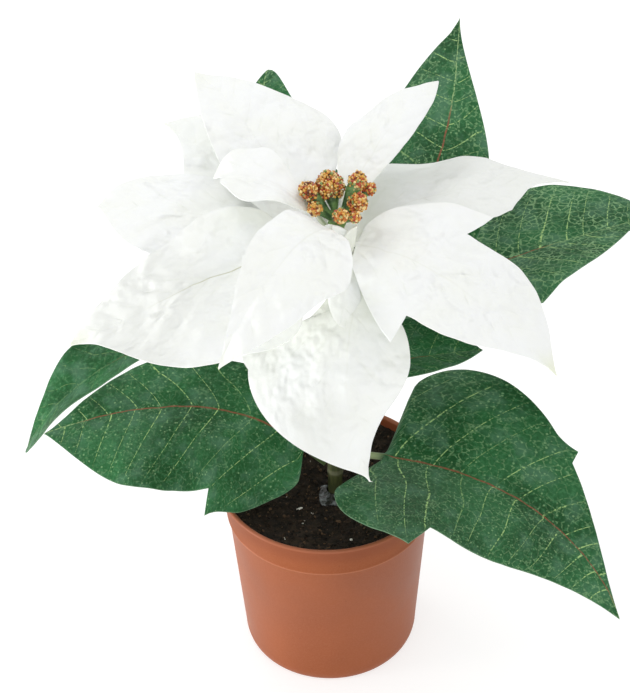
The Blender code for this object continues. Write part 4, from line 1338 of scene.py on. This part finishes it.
def floret_cup(name, floret):
    """Points and faces of one stalk and the cup below its head."""
    x, y, z, radius = floret
    start = floret_start()
    way = (Vector((x, y, z)) - start).normalized()
    end = Vector((x, y, z)) - way * (radius * 0.6)
    turn = way.to_track_quat("Z", "Y")
    cup = max(radius * CUP_SHARES.get(name, 0.55), FLORET_STALK_RADIUS)
    rings = []
    for k in range(CUP_RINGS):
        share = k / (CUP_RINGS - 1)
        widen = float(ease((share - 0.25) / 0.7))
        ring = circle(FLORET_STALK_RADIUS + (cup - FLORET_STALK_RADIUS) * widen, 0.0, CUP_SIDES)
        centre = start.lerp(end, share)
        rings.append([tuple(centre + turn @ Vector(point)) for point in ring])
    return join_rings(rings)


def add_floret_stalks(finish):
    """Fleshy stalks that grow out of one foot and widen into cups below the heads."""
    bodies = [floret_foot()] + [floret_cup(name, floret) for name, floret in FLORETS.items()]
    stalks = add_mesh("floret_cups", *merge(bodies), [finish])
    fuse = stalks.modifiers.new("fuse", "REMESH")
    fuse.mode = "VOXEL"
    fuse.voxel_size = 0.32 * MM
    smooth = stalks.modifiers.new("smooth", "SMOOTH")
    smooth.iterations = 3
    apply_modifiers(stalks)
    shade_round(stalks, 180)
    stand_for(stalks, "floret_green", "floret_stalks")


def spread_directions(count):
    """Directions from a centre, spread evenly by the golden angle."""
    golden = math.pi * (3 - math.sqrt(5))
    for k in range(count):
        level = 1 - 2 * (k + 0.5) / count
        ring = math.sqrt(1 - level * level)
        yield Vector((ring * math.cos(golden * k), ring * math.sin(golden * k), level))


def draw_beads(ball, radius, way, seed):
    """Each small irregular bead of a head: its place, its points round that place and its tone."""
    draw = random.Random(seed)
    count = round(4 * math.pi * (radius / BEAD_SPACING) ** 2)
    for direction in spread_directions(count):
        direction = (direction + 0.10 * Vector([draw.uniform(-1, 1) for _ in range(3)])).normalized()
        if direction.dot(way) < BARE_BELOW:
            continue
        bulge = 1.03 + 0.22 * noise.noise(direction * 1.6 + Vector((1.7 * seed, 0, 0)))
        size = BEAD_RADIUS * draw.choice((0.65, 0.8, 1.0, 1.0, 1.3))
        reach = (radius - BEAD_RADIUS) * bulge + draw.uniform(-0.5, 0.5) * MM
        rough = 1 + 0.14 * np.array([draw.uniform(-1, 1) for _ in ball])[:, None]
        patch = noise.noise(direction * 2.6 + Vector((0, 1.3 * seed, 0)))
        tone = min(max(draw.random() + 0.35 * patch, 0), 1)
        yield np.array(direction * reach), ball * rough * size, tone


def add_floret_head(name, floret, finish, seed):
    """A lumpy clump of beads on a core, a little longer than wide."""
    x, y, z, radius = floret
    centre = Vector((x, y, z))
    way = (centre - floret_start()).normalized()
    lengthen = np.eye(3) + (HEAD_LENGTH - 1) * np.outer(way, way)
    base = np.array(centre - way * radius * (HEAD_LENGTH - 1))
    core, core_faces = lump(radius * CORE_SHARE, 3)
    lumps = [(core @ lengthen + base, core_faces, CORE_TONE)]
    ball, ball_faces = lump(1.0, 2)
    for place, bead, tone in draw_beads(ball, radius, way, seed):
        lumps.append((bead + (base + place @ lengthen), ball_faces, tone))
    head = scatter(name + "_beads", lumps, [finish])
    shade_round(head, 180)
    stand_for(head, "floret_beads", name)


def add_camera():
    """A camera in the place, and with the lens, that were fitted to the photograph."""
    data = bpy.data.cameras.new("camera")
    data.sensor_width = SENSOR_MM
    data.lens = FOCAL_PX * SENSOR_MM / PHOTO_HEIGHT_PX
    camera = add_object("camera", data)
    down = Matrix.Rotation(math.radians(90 - CAMERA_PITCH), 4, "X")
    roll = Matrix.Rotation(math.radians(CAMERA_ROLL), 4, "Z")
    camera.matrix_world = Matrix.Translation(CAMERA_PLACE) @ down @ roll
    bpy.context.scene.camera = camera


def add_light(name, place, target, size, watts):
    """A round lamp that shines from its place towards its target."""
    data = bpy.data.lights.new(name, "AREA")
    data.shape = "DISK"
    data.size = size
    data.energy = watts
    light = add_object(name, data)
    way = Vector(target) - Vector(place)
    light.matrix_world = Matrix.Translation(place) @ way.to_track_quat("-Z", "Y").to_matrix().to_4x4()


def add_studio():
    """Even white light from all round, with three lamps."""
    world = bpy.data.worlds.new("studio")
    world.use_nodes = True
    background = world.node_tree.nodes["Background"]
    background.inputs["Color"].default_value = (1, 1, 1, 1)
    background.inputs["Strength"].default_value = WORLD_STRENGTH
    bpy.context.scene.world = world
    bpy.context.scene.view_settings.view_transform = "Standard"
    for name, (place, target, size, watts) in LIGHTS.items():
        add_light(name, place, target, size, watts)


def add_floor(finish):
    """The floor below the pot, which isn't part of the plant."""
    reach = FLOOR_REACH
    corners = [(-reach, -reach, 0), (reach, -reach, 0), (reach, reach, 0), (-reach, reach, 0)]
    mesh = bpy.data.meshes.new("floor")
    mesh.from_pydata(corners, [], [(0, 1, 2, 3)])
    mesh.materials.append(finish)
    floor = add_object("floor", mesh)


def looks_of(name, table):
    """The looks of one blade: its own values, and the usual ones where it has none."""
    return {look: own.get(name, usual) for look, (usual, own) in table.items()}


def add_plant():
    """Every leaf and bract. The short inner bracts take no node's place."""
    bract_finish = [bract_material()]
    leaf_finishes = [leaf_material(), leaf_under_material()]
    for index, (name, blade) in enumerate((BRACTS | INNER_BRACTS).items()):
        seed = 0.37 * (index + 1)
        bract = add_blade(name, blade, BRACT_CLOTH, bract_finish, seed, looks_of(name, BRACT_LOOKS))
        stand_for(bract, "bract", *([name] if name in BRACTS else []))
    for index, (name, blade) in enumerate(LEAVES.items()):
        seed = 0.53 * (index + 1)
        leaf = add_blade(name, blade, LEAF_CLOTH, leaf_finishes, seed, looks_of(name, LEAF_LOOKS))
        stand_for(leaf, "leaf", name)


def main():
    """Adds the pieces from the pot upwards, then the floor, the light and the camera."""
    add_pot(terracotta_material())
    add_soil(soil_material())
    add_soil_grains(grain_material())
    add_stem(stem_material())
    add_glue(glue_material())
    add_plant()
    add_floret_stalks(floret_green_material())
    beads = bead_material()
    for seed, (name, floret) in enumerate(FLORETS.items()):
        add_floret_head(name, floret, beads, seed)
    add_floor(floor_material())
    add_studio()
    add_camera()


main()
